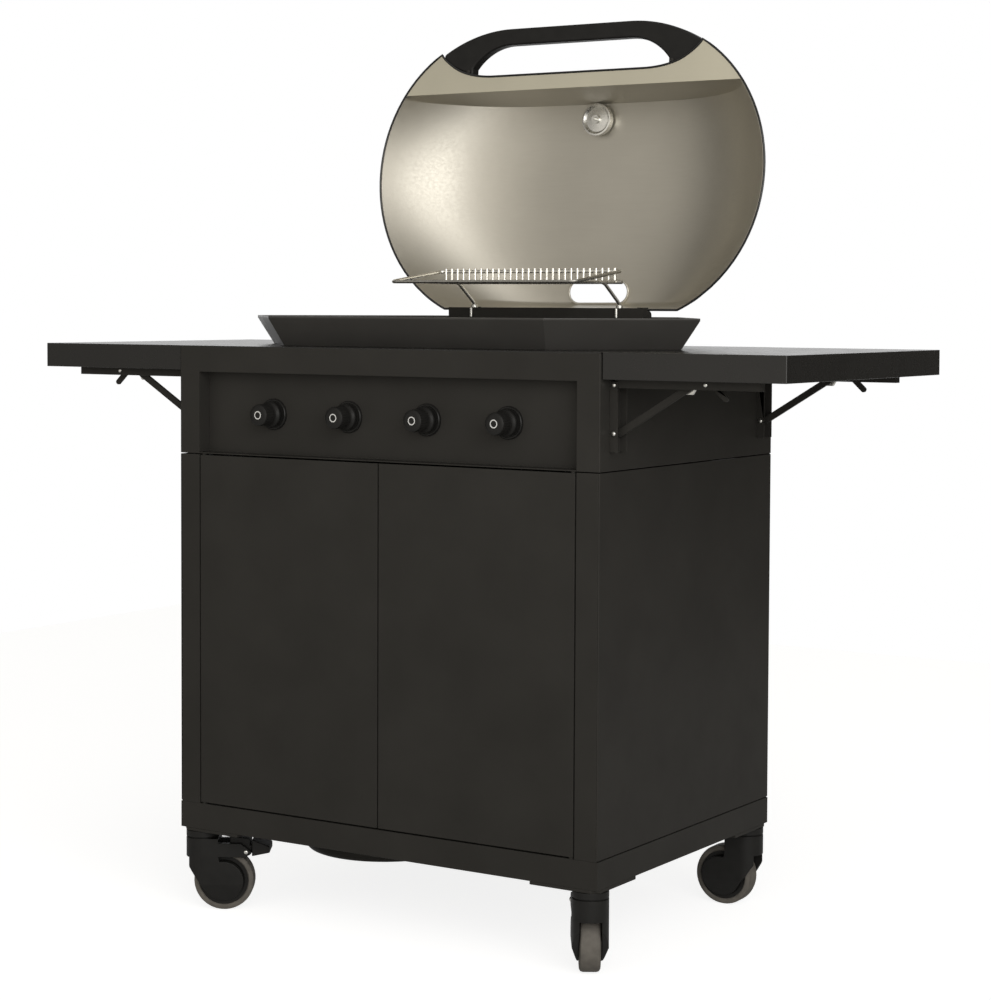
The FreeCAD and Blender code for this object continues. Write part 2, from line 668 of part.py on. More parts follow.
def table_deck():
    deck = box(-HALF_WIDTH, HALF_WIDTH, 0, CABINET_DEPTH, DECK_BOTTOM, TABLE_HEIGHT)
    return deck.cut(firebox_opening(DECK_BOTTOM, TABLE_HEIGHT))


# Basin and firebox

def rim_outline():
    """Corners of the basin's rim, anticlockwise from the front left."""
    right = [(RIM_FRONT_HALF, RIM_FRONT), (RIM_WIDEST_HALF, RIM_WIDEST), (RIM_BACK_HALF, RIM_BACK)]
    left = [(-x, y) for x, y in reversed(right)]
    return left[-1:] + right + left[:-1]


def moved_in(points, distance):
    """Outline with each edge of an anticlockwise outline moved inwards."""
    lines = []
    for start, end in zip(points, points[1:] + points[:1]):
        along = (V(*end) - V(*start)).normalize()
        inward = V(-along.y, along.x, 0)
        lines.append((V(*start) + inward * distance, along))
    corners = []
    for (first, along_first), (second, along_second) in zip(lines[-1:] + lines[:-1], lines):
        apart = second - first
        turn = along_first.x * along_second.y - along_first.y * along_second.x
        reach = (apart.x * along_second.y - apart.y * along_second.x) / turn
        corner = first + along_first * reach
        corners.append((corner.x, corner.y))
    return corners


def flared_solid(inset, floor, top):
    """Basin solid whose walls lean out between the floor and the rim, moved inwards by the inset."""
    wires = []
    for z, lean in ((floor, BASIN_FLARE), (top, 0.0)):
        corners = [V(x, y, z) for x, y in moved_in(rim_outline(), inset + lean)]
        wires.append(Part.makePolygon(corners + corners[:1]))
    return Part.makeLoft(wires, True, True)


def basin():
    """Flared tray on the deck, with a lip round its rim and an opening for the firebox."""
    wall_top = RIM_HEIGHT - LIP_HEIGHT
    tray = flared_solid(0, TABLE_HEIGHT, wall_top)
    tray = tray.cut(flared_solid(SHEET, TABLE_HEIGHT + SHEET, wall_top))
    lip = prism_z(rim_outline(), wall_top, RIM_HEIGHT)
    lip = lip.cut(prism_z(moved_in(rim_outline(), LIP_THICK), wall_top, RIM_HEIGHT))
    return join(tray, lip).cut(firebox_opening(TABLE_HEIGHT, TABLE_HEIGHT + SHEET))


def firebox():
    """Tub that hangs by its flange; ledges carry the flame tamers, runners below carry the drip tray."""
    inner = FIREBOX_HALF - SHEET
    front = FIREBOX_FRONT + SHEET
    back = FIREBOX_BACK - SHEET
    flange_bottom = FLANGE_TOP - SHEET
    tub = box(-FIREBOX_HALF, FIREBOX_HALF, FIREBOX_FRONT, FIREBOX_BACK, FIREBOX_FLOOR, flange_bottom)
    flange = box(
        -FIREBOX_HALF - FIREBOX_FLANGE, FIREBOX_HALF + FIREBOX_FLANGE,
        FIREBOX_FRONT - FIREBOX_FLANGE, FIREBOX_BACK + FIREBOX_FLANGE, flange_bottom, FLANGE_TOP,
    )
    hollow = box(-inner, inner, front, back, FIREBOX_FLOOR + SHEET, FLANGE_TOP)
    middle = (FIREBOX_FRONT + FIREBOX_BACK) / 2
    grease = box(
        -GREASE_HALF_WIDTH, GREASE_HALF_WIDTH, middle - GREASE_LENGTH / 2, middle + GREASE_LENGTH / 2,
        FIREBOX_FLOOR, FIREBOX_FLOOR + SHEET,
    )
    venturis = [
        rod(VENTURI_RADIUS + GAP, (x, FIREBOX_FRONT, KNOB_HEIGHT), (x, front, KNOB_HEIGHT))
        for x in KNOB_PLACES
    ]
    shell = join(tub, flange).cut([hollow, grease] + venturis)
    ledges = [
        box(-inner, inner, front, front + LEDGE_WIDTH, LEDGE_HEIGHT - SHEET, LEDGE_HEIGHT),
        box(-inner, inner, back - LEDGE_WIDTH, back, LEDGE_HEIGHT - SHEET, LEDGE_HEIGHT),
    ]
    return join(shell, *ledges, *both_sides(tray_runner()))


def tray_runner():
    """Right runner: strip below the firebox with a lip that carries the drip tray."""
    side = TRAY_HALF + GAP
    strip = box(side, side + SHEET, TRAY_FRONT, RUNNER_END, RUNNER_LOW, FIREBOX_FLOOR)
    lip = box(side - RUNNER_LIP, side, TRAY_FRONT, RUNNER_END, RUNNER_LOW, TRAY_BOTTOM)
    return join(strip, lip)


def drip_tray():
    """Shallow pan on the runners, with a pull that stands out at the back."""
    inner = TRAY_HALF - SHEET
    pan = box(-TRAY_HALF, TRAY_HALF, TRAY_FRONT, CABINET_DEPTH, TRAY_BOTTOM, TRAY_TOP)
    hollow = box(
        -inner, inner, TRAY_FRONT + SHEET, CABINET_DEPTH - SHEET, TRAY_BOTTOM + SHEET, TRAY_TOP
    )
    pull_half = TRAY_HALF / 2
    pull = box(-pull_half, pull_half, CABINET_DEPTH, CABINET_DEPTH + TRAY_PULL, TRAY_TOP - SHEET, TRAY_TOP)
    return join(pan.cut(hollow), pull)


def burners():
    """Four tube burners; the narrow front end of each passes through the firebox wall."""
    tubes = []
    inside = FIREBOX_FRONT + SHEET + GAP
    for x in KNOB_PLACES:
        body = rod(BURNER_RADIUS, (x, inside, KNOB_HEIGHT), (x, BURNER_BACK, KNOB_HEIGHT))
        venturi = rod(VENTURI_RADIUS, (x, BURNER_FRONT, KNOB_HEIGHT), (x, inside, KNOB_HEIGHT))
        bore_end = BURNER_BACK - BURNER_WALL
        bore_radius = VENTURI_RADIUS - BURNER_WALL
        bore = rod(bore_radius, (x, BURNER_FRONT, KNOB_HEIGHT), (x, bore_end, KNOB_HEIGHT))
        tubes.append(join(body, venturi).cut(bore))
    return Part.makeCompound(tubes)


def flame_tamers():
    """Four folded roofs, each over a burner and resting on the firebox ledges."""
    roofs = []
    for x in KNOB_PLACES:
        outline = [
            (x - TAMER_HALF_WIDTH, LEDGE_HEIGHT),
            (x, LEDGE_HEIGHT + TAMER_HEIGHT),
            (x + TAMER_HALF_WIDTH, LEDGE_HEIGHT),
            (x + TAMER_HALF_WIDTH - 2 * SHEET, LEDGE_HEIGHT),
            (x, LEDGE_HEIGHT + TAMER_HEIGHT - 2 * SHEET),
            (x - TAMER_HALF_WIDTH + 2 * SHEET, LEDGE_HEIGHT),
        ]
        roofs.append(prism_y(outline, FIREBOX_FRONT + SHEET + GAP, FIREBOX_BACK - SHEET - GAP))
    return Part.makeCompound(roofs)


# Gas train and controls

def gas_manifold():
    """Tube below the valves, closed at both ends, with the inlet fitting behind its right end."""
    turn = (MANIFOLD_RIGHT, MANIFOLD_Y, MANIFOLD_Z)
    closed_end = (MANIFOLD_RIGHT + MANIFOLD_RADIUS, MANIFOLD_Y, MANIFOLD_Z)
    tube = rod(MANIFOLD_RADIUS, (MANIFOLD_LEFT, MANIFOLD_Y, MANIFOLD_Z), closed_end)
    collar_start = (MANIFOLD_RIGHT, INLET_START - COLLAR_THICK, MANIFOLD_Z)
    collar_end = (MANIFOLD_RIGHT, INLET_START, MANIFOLD_Z)
    inlet_end = (MANIFOLD_RIGHT, INLET_START + INLET_LENGTH, MANIFOLD_Z)
    collar = rod(COLLAR_RADIUS, collar_start, collar_end)
    neck = rod(INLET_RADIUS, turn, collar_end)
    inlet = rod(INLET_RADIUS, collar_end, inlet_end)
    bore = rod(MANIFOLD_BORE, (MANIFOLD_LEFT + SHEET, MANIFOLD_Y, MANIFOLD_Z), turn)
    inlet_bore = rod(INLET_RADIUS / 2, turn, inlet_end)
    return join(tube, neck, collar, inlet).cut([bore, inlet_bore])


def gas_valves():
    """Four valve bodies on the manifold; each jet reaches into its burner."""
    valves = []
    for x in KNOB_PLACES:
        low = KNOB_HEIGHT - VALVE_HALF_HEIGHT
        high = KNOB_HEIGHT + VALVE_HALF_HEIGHT
        body = box(x - VALVE_HALF, x + VALVE_HALF, VALVE_FRONT, VALVE_BACK, low, high)
        jet = rod(JET_RADIUS, (x, VALVE_BACK, KNOB_HEIGHT), (x, VALVE_BACK + JET_LENGTH, KNOB_HEIGHT))
        bore_end = VALVE_FRONT + SPINDLE_GRIP + SPINDLE_TRAVEL + SHEET
        bore = rod(SPINDLE_RADIUS + FIT, (x, VALVE_FRONT, KNOB_HEIGHT), (x, bore_end, KNOB_HEIGHT))
        valves.append(join(body, jet).cut(bore))
    return Part.makeCompound(valves)


def valve_spindle(x):
    return rod(SPINDLE_RADIUS, (x, SPINDLE_FRONT, KNOB_HEIGHT), (x, VALVE_FRONT + SPINDLE_GRIP, KNOB_HEIGHT))


def knob(x):
    """Round cap with a wider skirt, bored for the spindle from the back."""
    cap = rod(KNOB_RADIUS, (x, KNOB_FACE, KNOB_HEIGHT), (x, KNOB_BACK, KNOB_HEIGHT))
    cap = cap.makeFillet(KNOB_ROUND, [min(cap.Edges, key=lambda edge: edge.CenterOfMass.y)])
    skirt = rod(KNOB_SKIRT_RADIUS, (x, KNOB_BACK - KNOB_SKIRT, KNOB_HEIGHT), (x, KNOB_BACK, KNOB_HEIGHT))
    bore = rod(SPINDLE_RADIUS + FIT, (x, SPINDLE_FRONT, KNOB_HEIGHT), (x, KNOB_BACK, KNOB_HEIGHT))
    return join(cap, skirt).cut(bore)


def knob_bezels():
    bezels = []
    for x in KNOB_PLACES:
        front = PANEL_RECESS - BEZEL_THICK
        disc = rod(BEZEL_RADIUS, (x, front, KNOB_HEIGHT), (x, PANEL_RECESS, KNOB_HEIGHT))
        disc = disc.makeFillet(BEZEL_ROUND, [min(disc.Edges, key=lambda edge: edge.CenterOfMass.y)])
        bezels.append(disc.cut(spindle_hole(x, front, PANEL_RECESS)))
    return Part.makeCompound(bezels)


# Cooking surfaces and warming rack

def cooking_bounds():
    """Outer X, front Y and back Y shared by the grate and the hotplate."""
    half = FIREBOX_HALF + GRATE_OVERLAP
    return half, FIREBOX_FRONT - GRATE_OVERLAP, FIREBOX_BACK + GRATE_OVERLAP


def cooking_grate():
    """Cast grate over the left half: a frame filled with bars that run front to back."""
    half, front, back = cooking_bounds()
    top = FLANGE_TOP + GRATE_THICK
    frame = box(-half, -GAP, front, back, FLANGE_TOP, top)
    hollow = box(
        GRATE_FRAME - half, -GAP - GRATE_FRAME, front + GRATE_FRAME, back - GRATE_FRAME, FLANGE_TOP, top
    )
    pitch = (half - 2 * GRATE_FRAME) / (GRATE_BARS + 1)
    bars = []
    for i in range(GRATE_BARS):
        middle = GRATE_FRAME - half + (i + 1) * pitch
        start, end = middle - GRATE_BAR_WIDTH / 2, middle + GRATE_BAR_WIDTH / 2
        bars.append(box(start, end, front, back, FLANGE_TOP + SHEET, top))
    return join(frame.cut(hollow), *bars)


def hotplate():
    """Cast plate over the right half with a raised rim."""
    half, front, back = cooking_bounds()
    top = FLANGE_TOP + GRATE_THICK
    plate = box(GAP, half, front, back, FLANGE_TOP, top)
    dish = box(
        GAP + HOTPLATE_RIM, half - HOTPLATE_RIM, front + HOTPLATE_RIM, back - HOTPLATE_RIM,
        FLANGE_TOP + HOTPLATE_FLOOR, top,
    )
    return plate.cut(dish)


def rack_rail():
    """Black rail along the back of the rim, with a socket for each rack leg."""
    low = RIM_HEIGHT - LIP_HEIGHT
    post = box(-RAIL_HALF, RAIL_HALF, RAIL_FRONT, RAIL_BACK, low, RAIL_TOP)
    shelf = box(-RAIL_HALF, RAIL_HALF, RAIL_BACK, RIM_BACK - LIP_THICK, low, RIM_HEIGHT)
    sockets = [
        rod(FRAME_WIRE_RADIUS + FIT, (x, RACK_LEG_Y, RAIL_TOP - RACK_LEG_DEPTH), (x, RACK_LEG_Y, RAIL_TOP))
        for x in (-RACK_LEG_X, RACK_LEG_X)
    ]
    return join(post, shelf).cut(sockets)


def wire_path(radius, points):
    """Round wire through the points, with a ball at each bend."""
    pieces = [rod(radius, start, end) for start, end in zip(points, points[1:])]
    pieces += [Part.makeSphere(radius, V(*point)) for point in points[1:-1]]
    return pieces


def warming_rack():
    """Wire rack: frame, cross wires turned up into a fence at the back, two bent legs."""
    pieces = []
    corners = [
        (-RACK_HALF, RACK_BACK, RACK_FENCE_TOP), (-RACK_HALF, RACK_FRONT, RACK_HEIGHT),
        (RACK_HALF, RACK_FRONT, RACK_HEIGHT), (RACK_HALF, RACK_BACK, RACK_FENCE_TOP),
    ]
    pieces += wire_path(FRAME_WIRE_RADIUS, corners + corners[:1])
    pieces.append(Part.makeSphere(FRAME_WIRE_RADIUS, V(*corners[0])))
    low_back_left = (-RACK_HALF, RACK_BACK, RACK_HEIGHT)
    low_back_right = (RACK_HALF, RACK_BACK, RACK_HEIGHT)
    pieces.append(rod(FRAME_WIRE_RADIUS, low_back_left, low_back_right))
    pitch = 2 * RACK_HALF / (RACK_WIRES - 1)
    for i in range(RACK_WIRES):
        x = i * pitch - RACK_HALF
        bend = (x, RACK_BACK, RACK_HEIGHT)
        wire = [(x, RACK_FRONT, RACK_HEIGHT), bend, (x, RACK_BACK, RACK_FENCE_TOP)]
        pieces += wire_path(WIRE_RADIUS, wire)
    for x in (-RACK_LEG_X, RACK_LEG_X):
        foot = (x, RACK_LEG_Y, RAIL_TOP - RACK_LEG_DEPTH)
        leg = [(x, RACK_BACK, RACK_HEIGHT), (x, RACK_LEG_Y, RACK_LEG_BEND), foot]
        pieces += wire_path(FRAME_WIRE_RADIUS, leg)
    return join(*pieces)


# Lid, drawn closed and then opened about the hinge

def opened(shape):
    shape.rotate(V(0, HINGE_Y, HINGE_Z), ALONG_X, -LID_OPEN)
    return shape


def lid_y(forward):
    """Y of a point that lies the given distance in front of the hinge line while the lid is closed."""
    return HINGE_Y - forward


def barrel_wire(back, back_half, middle_half, front, front_half, z):
    """Closed outline with straight front and back edges and bowed sides."""
    front_right = V(front_half, lid_y(front), z)
    back_right = V(back_half, lid_y(back), z)
    front_left = V(-front_half, lid_y(front), z)
    back_left = V(-back_half, lid_y(back), z)
    right_bow = Part.Arc(front_right, V(middle_half, lid_y(LID_MIDDLE), z), back_right).toShape()
    left_bow = Part.Arc(back_left, V(-middle_half, lid_y(LID_MIDDLE), z), front_left).toShape()
    edges = [
        Part.makeLine(front_left, front_right), right_bow, Part.makeLine(back_right, back_left), left_bow
    ]
    return Part.Wire(edges)


def dome_solid(skin):
    """Solid of the dome, moved inwards by the skin thickness."""
    wires = []
    for share in DOME_SHARES:
        rise = (1 - share**4) / (1 - DOME_SHARES[-1]**4)
        height = DOME_HEIGHT * rise
        set_back = DOME_SET_BACK * rise
        wires.append(barrel_wire(
            LID_BACK + SHEET + set_back + skin,
            LID_BACK_HALF * share - skin - DOME_EDGE,
            (LID_SIDE_HALF - DOME_EDGE) * share - skin,
            DOME_FRONT - set_back - skin,
            DOME_FRONT_HALF * share - skin,
            HINGE_Z + (height - skin if height else 0.0),
        ))
    return Part.makeLoft(wires, True, True)


def lid_flange():
    """Flat rim of the lid, with the wide front part notched for the fingers."""
    wire = barrel_wire(LID_BACK, LID_BACK_HALF, LID_SIDE_HALF, LID_FRONT, LID_FRONT_HALF, HINGE_Z)
    plate = Part.Face(wire).extrude(V(0, 0, LID_SHEET))
    corners = [
        (-LID_NOTCH_HALF, lid_y(LID_NOTCH)), (LID_NOTCH_HALF, lid_y(LID_NOTCH)),
        (LID_FRONT_HALF, lid_y(LID_FRONT)), (-LID_FRONT_HALF, lid_y(LID_FRONT)),
    ]
    notch = prism_z(corners, HINGE_Z, HINGE_Z + LID_SHEET)
    inner = [
        edge for edge in notch.Edges
        if edge.BoundBox.ZLength > LID_SHEET / 2 and abs(edge.CenterOfMass.x) < LID_NOTCH_HALF + FIT
    ]
    return plate.cut(notch.makeFillet(LID_NOTCH_ROUND, inner))


def vent_slot():
    """Rounded slot through the roof near the hinge."""
    radius = (VENT_FRONT - VENT_BACK) / 2
    middle = lid_y((VENT_FRONT + VENT_BACK) / 2)
    low = HINGE_Z + DOME_HEIGHT / 2
    high = HINGE_Z + DOME_HEIGHT + LID_SHEET
    flat = VENT_HALF - radius
    ends = [rod(radius, (x, middle, low), (x, middle, high)) for x in (-flat, flat)]
    return join(box(-flat, flat, middle - radius, middle + radius, low, high), *ends)


def lid_lug():
    """Right hinge lug, bored for the pin, with an arm to the rim."""
    boss = rod(LUG_RADIUS, (LUG_X, HINGE_Y, HINGE_Z), (LUG_X + LUG_WIDTH, HINGE_Y, HINGE_Z))
    arm = box(LUG_X, LUG_X + LUG_WIDTH, lid_y(LID_BACK + SHEET), HINGE_Y, HINGE_Z, HINGE_Z + LID_SHEET)
    bore = rod(HINGE_PIN_RADIUS + FIT, (LUG_X, HINGE_Y, HINGE_Z), (LUG_X + LUG_WIDTH, HINGE_Y, HINGE_Z))
    return join(boss, arm).cut(bore)


def lid_shell():
    roof = HINGE_Z + DOME_HEIGHT
    y = lid_y(THERMO_FORWARD)
    thermo_hole = rod(THERMO_NECK_RADIUS + GAP, (0, y, roof - 2 * LID_SHEET), (0, y, roof))
    shell = join(dome_solid(0.0), lid_flange()).cut([dome_solid(LID_SHEET), vent_slot(), thermo_hole])
    return opened(join(shell, *both_sides(lid_lug())))


def bend_middle(start, end):
    """Middle of the arc that leaves the start along X and runs down to the end, both in X and reach."""
    across, down = end[0] - start[0], start[1] - end[1]
    radius = (across**2 + down**2) / (2 * down)
    half_turn = math.atan2(down, across)
    return start[0] + radius * math.sin(half_turn), start[1] - radius * (1 - math.cos(half_turn))


def lid_handle():
    """Flat arch that carries on the lid's oval outline in front of the finger notch, with feet on the rim."""
    low = HINGE_Z + LID_SHEET
    outer_flat = (HANDLE_FLAT, HANDLE_REACH)
    outer_end = (HANDLE_END_X, 0)
    inner_flat = (HANDLE_FLAT, HANDLE_REACH - HANDLE_BAR)
    inner_end = (HANDLE_FOOT_X, HANDLE_FOOT_REACH)
    outer_foot = (HANDLE_END_X, -HANDLE_PAD)
    inner_foot = (HANDLE_FOOT_X, HANDLE_FOOT_REACH - HANDLE_PAD)

    def spot(side, place):
        return V(side * place[0], lid_y(LID_FRONT + place[1]), low)

    edges = [Part.makeLine(spot(-1, flat), spot(1, flat)) for flat in (outer_flat, inner_flat)]
    for side in (1, -1):
        for flat, end in ((outer_flat, outer_end), (inner_flat, inner_end)):
            middle = spot(side, bend_middle(flat, end))
            edges.append(Part.Arc(spot(side, flat), middle, spot(side, end)).toShape())
        foot = [spot(side, place) for place in (outer_end, outer_foot, inner_foot, inner_end)]
        edges += [Part.makeLine(start, end) for start, end in zip(foot, foot[1:])]
    outline = Part.Wire(Part.__sortEdges__(edges))
    return opened(Part.Face(outline).extrude(V(0, 0, HANDLE_THICK)))


def lid_thermometer():
    """Dial above the roof, can below it, joined by a neck, with a probe."""
    y = lid_y(THERMO_FORWARD)
    roof = HINGE_Z + DOME_HEIGHT
    inside = roof - LID_SHEET
    can_bottom = inside - THERMO_CAN_THICK
    pieces = [
        rod(THERMO_DIAL_RADIUS, (0, y, roof), (0, y, roof + THERMO_DIAL_THICK)),
        rod(THERMO_NECK_RADIUS, (0, y, inside), (0, y, roof)),
        rod(THERMO_CAN_RADIUS, (0, y, can_bottom), (0, y, inside)),
        rod(THERMO_PROBE_RADIUS, (0, y, can_bottom - THERMO_PROBE_LENGTH), (0, y, can_bottom)),
    ]
    return opened(join(*pieces))


def lid_hinge_posts():
    """Two forked posts on the deck; the riveted pin between their cheeks carries the lid lug."""
    low = LUG_X - GAP - POST_SHEET
    high = LUG_X + LUG_WIDTH + GAP
    front = HINGE_Y - POST_HALF
    back = HINGE_Y + POST_HALF
    web_top = HINGE_Z - POST_WEB_DROP
    pieces = []
    for x in (low, high):
        pieces.append(box(x, x + POST_SHEET, front, back, TABLE_HEIGHT, HINGE_Z))
        pieces.append(rod(POST_HALF, (x, HINGE_Y, HINGE_Z), (x + POST_SHEET, HINGE_Y, HINGE_Z)))
    pieces.append(box(low, high + POST_SHEET, back - POST_SHEET, back, TABLE_HEIGHT, web_top))
    pieces.append(
        box(low, high + POST_SHEET, front, back + POST_FOOT, TABLE_HEIGHT, TABLE_HEIGHT + POST_SHEET)
    )
    pieces.append(rod(HINGE_PIN_RADIUS, (low, HINGE_Y, HINGE_Z), (high + POST_SHEET, HINGE_Y, HINGE_Z)))
    return Part.makeCompound(both_sides(join(*pieces)))


# Shelves and folding brackets

def shelf():
    """Right shelf: pan with its folds down and a closed rib over each bracket."""
    inner = HALF_WIDTH + SHELF_GAP
    outer = HALF_WIDTH + SHELF_LENGTH
    start, end = inner + SHEET, outer - SHEET
    pan = box(inner, outer, SHELF_FRONT, SHELF_BACK, SHELF_UNDER, TABLE_HEIGHT)
    hollow = box(start, end, SHELF_FRONT + SHEET, SHELF_BACK - SHEET, SHELF_UNDER, DECK_BOTTOM)
    ribs = []
    for y in BRACKET_PLACES:
        back = y + BRACKET_WIDTH
        rib = box(start, end, y, back, SHELF_UNDER, DECK_BOTTOM)
        ribs.append(rib.cut(box(start, end, y + SHEET, back - SHEET, SHELF_UNDER + SHEET, DECK_BOTTOM)))
    return join(pan.cut(hollow), *ribs)


def wall_leg(y):
    """Channel on the right cabinet side with the shelf pivot and the strut pivot."""
    back = y + BRACKET_WIDTH
    out = HALF_WIDTH + LEG_DEPTH
    top = SHELF_UNDER - LEG_TOP_GAP
    channel = box(HALF_WIDTH, out, y, back, LEG_BOTTOM, top)
    hollow = box(HALF_WIDTH + SHEET, out, y + SHEET, back - SHEET, LEG_BOTTOM, top)
    x = SHELF_PIVOT_X
    pivot = rod(PIVOT_PIN_RADIUS, (x, y, SHELF_PIVOT_Z), (x, back, SHELF_PIVOT_Z))
    strut_inner = y + strut_start() - GAP
    strut_pin = rod(PIVOT_PIN_RADIUS, (x, strut_inner, STRUT_PIVOT_Z), (x, back, STRUT_PIVOT_Z))
    heads = [
        rod(RIVET_HEAD_RADIUS, (x, y - RIVET_HEAD_THICK, z), (x, y, z))
        for z in (SHELF_PIVOT_Z, STRUT_PIVOT_Z)
    ]
    return join(channel.cut(hollow), pivot, strut_pin, *heads)


def strut_start():
    """Distance of the strut from the front of its bracket; the rail lies in front of it."""
    return SHEET + GAP + RAIL_WIDTH + 2 * GAP


def lever_start():
    """Distance of the release lever from the front of its bracket; the strut passes in front of it."""
    return strut_start() + STRUT_THICK + GAP


def shelf_wall_legs():
    legs = []
    for y in BRACKET_PLACES:
        legs += both_sides(wall_leg(y))
    return Part.makeCompound(legs)


def shelf_rail(y):
    """Bar under the right shelf that turns on the wall leg's pivot and carries the lever's pin."""
    start = y + SHEET + GAP
    end = start + RAIL_WIDTH
    bar = box(SHELF_PIVOT_X, RAIL_END_X, start, end, SHELF_UNDER - RAIL_THICK, SHELF_UNDER)
    pivot_front = (SHELF_PIVOT_X, start, SHELF_PIVOT_Z)
    pivot_back = (SHELF_PIVOT_X, end, SHELF_PIVOT_Z)
    boss = rod(RAIL_BOSS_RADIUS, pivot_front, pivot_back)
    bore = rod(PIVOT_PIN_RADIUS + FIT, pivot_front, pivot_back)
    lever_x = SHELF_PIVOT_X + LEVER_OUT
    lever_back = y + lever_start() + STRUT_THICK
    pin = rod(PIVOT_PIN_RADIUS, (lever_x, end, LEVER_PIVOT_Z), (lever_x, lever_back, LEVER_PIVOT_Z))
    return join(bar, boss, pin).cut(bore)


def shelf_rails():
    return Part.makeCompound([shelf_rail(y) for y in BRACKET_PLACES])


def shelf_struts():
    """Two struts of the right shelf, from the wall legs up to the rails."""
    struts = []
    low = (SHELF_PIVOT_X, STRUT_PIVOT_Z)
    high = (SHELF_PIVOT_X + STRUT_END_OUT, SHELF_PIVOT_Z - STRUT_END_DOWN)
    for y in BRACKET_PLACES:
        start = y + strut_start()
        end = start + STRUT_THICK
        bore = rod(PIVOT_PIN_RADIUS + FIT, (low[0], start, low[1]), (low[0], end, low[1]))
        struts.append(bar_y(low, high, STRUT_WIDTH, start, end).cut(bore))
    return Part.makeCompound(struts)


def shelf_levers():
    """Two release levers of the right shelf, hanging from the pins on the rails."""
    levers = []
    high = (SHELF_PIVOT_X + LEVER_OUT, LEVER_PIVOT_Z)
    low = (SHELF_PIVOT_X + LEVER_END_OUT, SHELF_PIVOT_Z - LEVER_END_DOWN)
    for y in BRACKET_PLACES:
        start = y + lever_start()
        end = start + STRUT_THICK
        bore = rod(PIVOT_PIN_RADIUS + FIT, (high[0], start, high[1]), (high[0], end, high[1]))
        levers.append(bar_y(high, low, LEVER_WIDTH, start, end).cut(bore))
    return Part.makeCompound(levers)


# All pieces by name

def all_pieces():
    pieces = {
        "base_pan": base_pan(),
        "bottle_well": bottle_well(),
        "caster_plates": caster_plates(),
        "back_panel": back_panel(),
        "door_hinge_pins": door_hinge_pins(),
        "housing_back": housing_back(),
        "front_fascia": front_fascia(),
        "control_panel": control_panel(),
        "table_deck": table_deck(),
        "basin": basin(),
        "firebox": firebox(),
        "drip_tray": drip_tray(),
        "burners": burners(),
        "flame_tamers": flame_tamers(),
        "gas_manifold": gas_manifold(),
        "gas_valves": gas_valves(),
        "knob_bezels": knob_bezels(),
        "cooking_grate": cooking_grate(),
        "hotplate": hotplate(),
        "rack_rail": rack_rail(),
        "warming_rack": warming_rack(),
        "lid_shell": lid_shell(),
        "lid_handle": lid_handle(),
        "lid_thermometer": lid_thermometer(),
        "lid_hinge_posts": lid_hinge_posts(),
        "shelf_wall_legs": shelf_wall_legs(),
    }
    for name in CASTER_HEADINGS:
        pieces["caster_fork_" + name] = caster_fork(name)
        pieces["caster_wheel_" + name] = caster_wheel(name)
    for name in BRAKED:
        pieces["caster_brake_" + name] = caster_brake(name)
    for number, x in enumerate(KNOB_PLACES, 1):
        pieces[f"valve_spindle_{number}"] = valve_spindle(x)
        pieces[f"knob_{number}"] = knob(x)
    paired = {
        "side_panel": side_panel(),
        "stile": stile(),
        "door": door(),
        "housing_side": housing_side(),
        "shelf": shelf(),
        "shelf_rails": shelf_rails(),
        "shelf_struts": shelf_struts(),
        "shelf_levers": shelf_levers(),
    }
    for name, shape in paired.items():
        pieces[name + "_right"] = shape
        pieces[name + "_left"] = mirrored(shape)
    return pieces


def outline_middle(pieces):
    """Y halfway between the frontmost and the rearmost point of all pieces."""
    boxes = [shape.BoundBox for shape in pieces.values()]
    return (min(b.YMin for b in boxes) + max(b.YMax for b in boxes)) / 2


def main():
    os.makedirs("parts", exist_ok=True)
    pieces = all_pieces()
    middle = outline_middle(pieces)
    for name, shape in pieces.items():
        shape.translate(V(0, -middle, 0))
        shape.exportStep(f"parts/{name}.step")


if __name__ == "__main__":
    main()
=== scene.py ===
import json
import math

import bmesh
import bpy
from bpy.props import FloatProperty, FloatVectorProperty, IntProperty, PointerProperty
from mathutils import Matrix, Vector

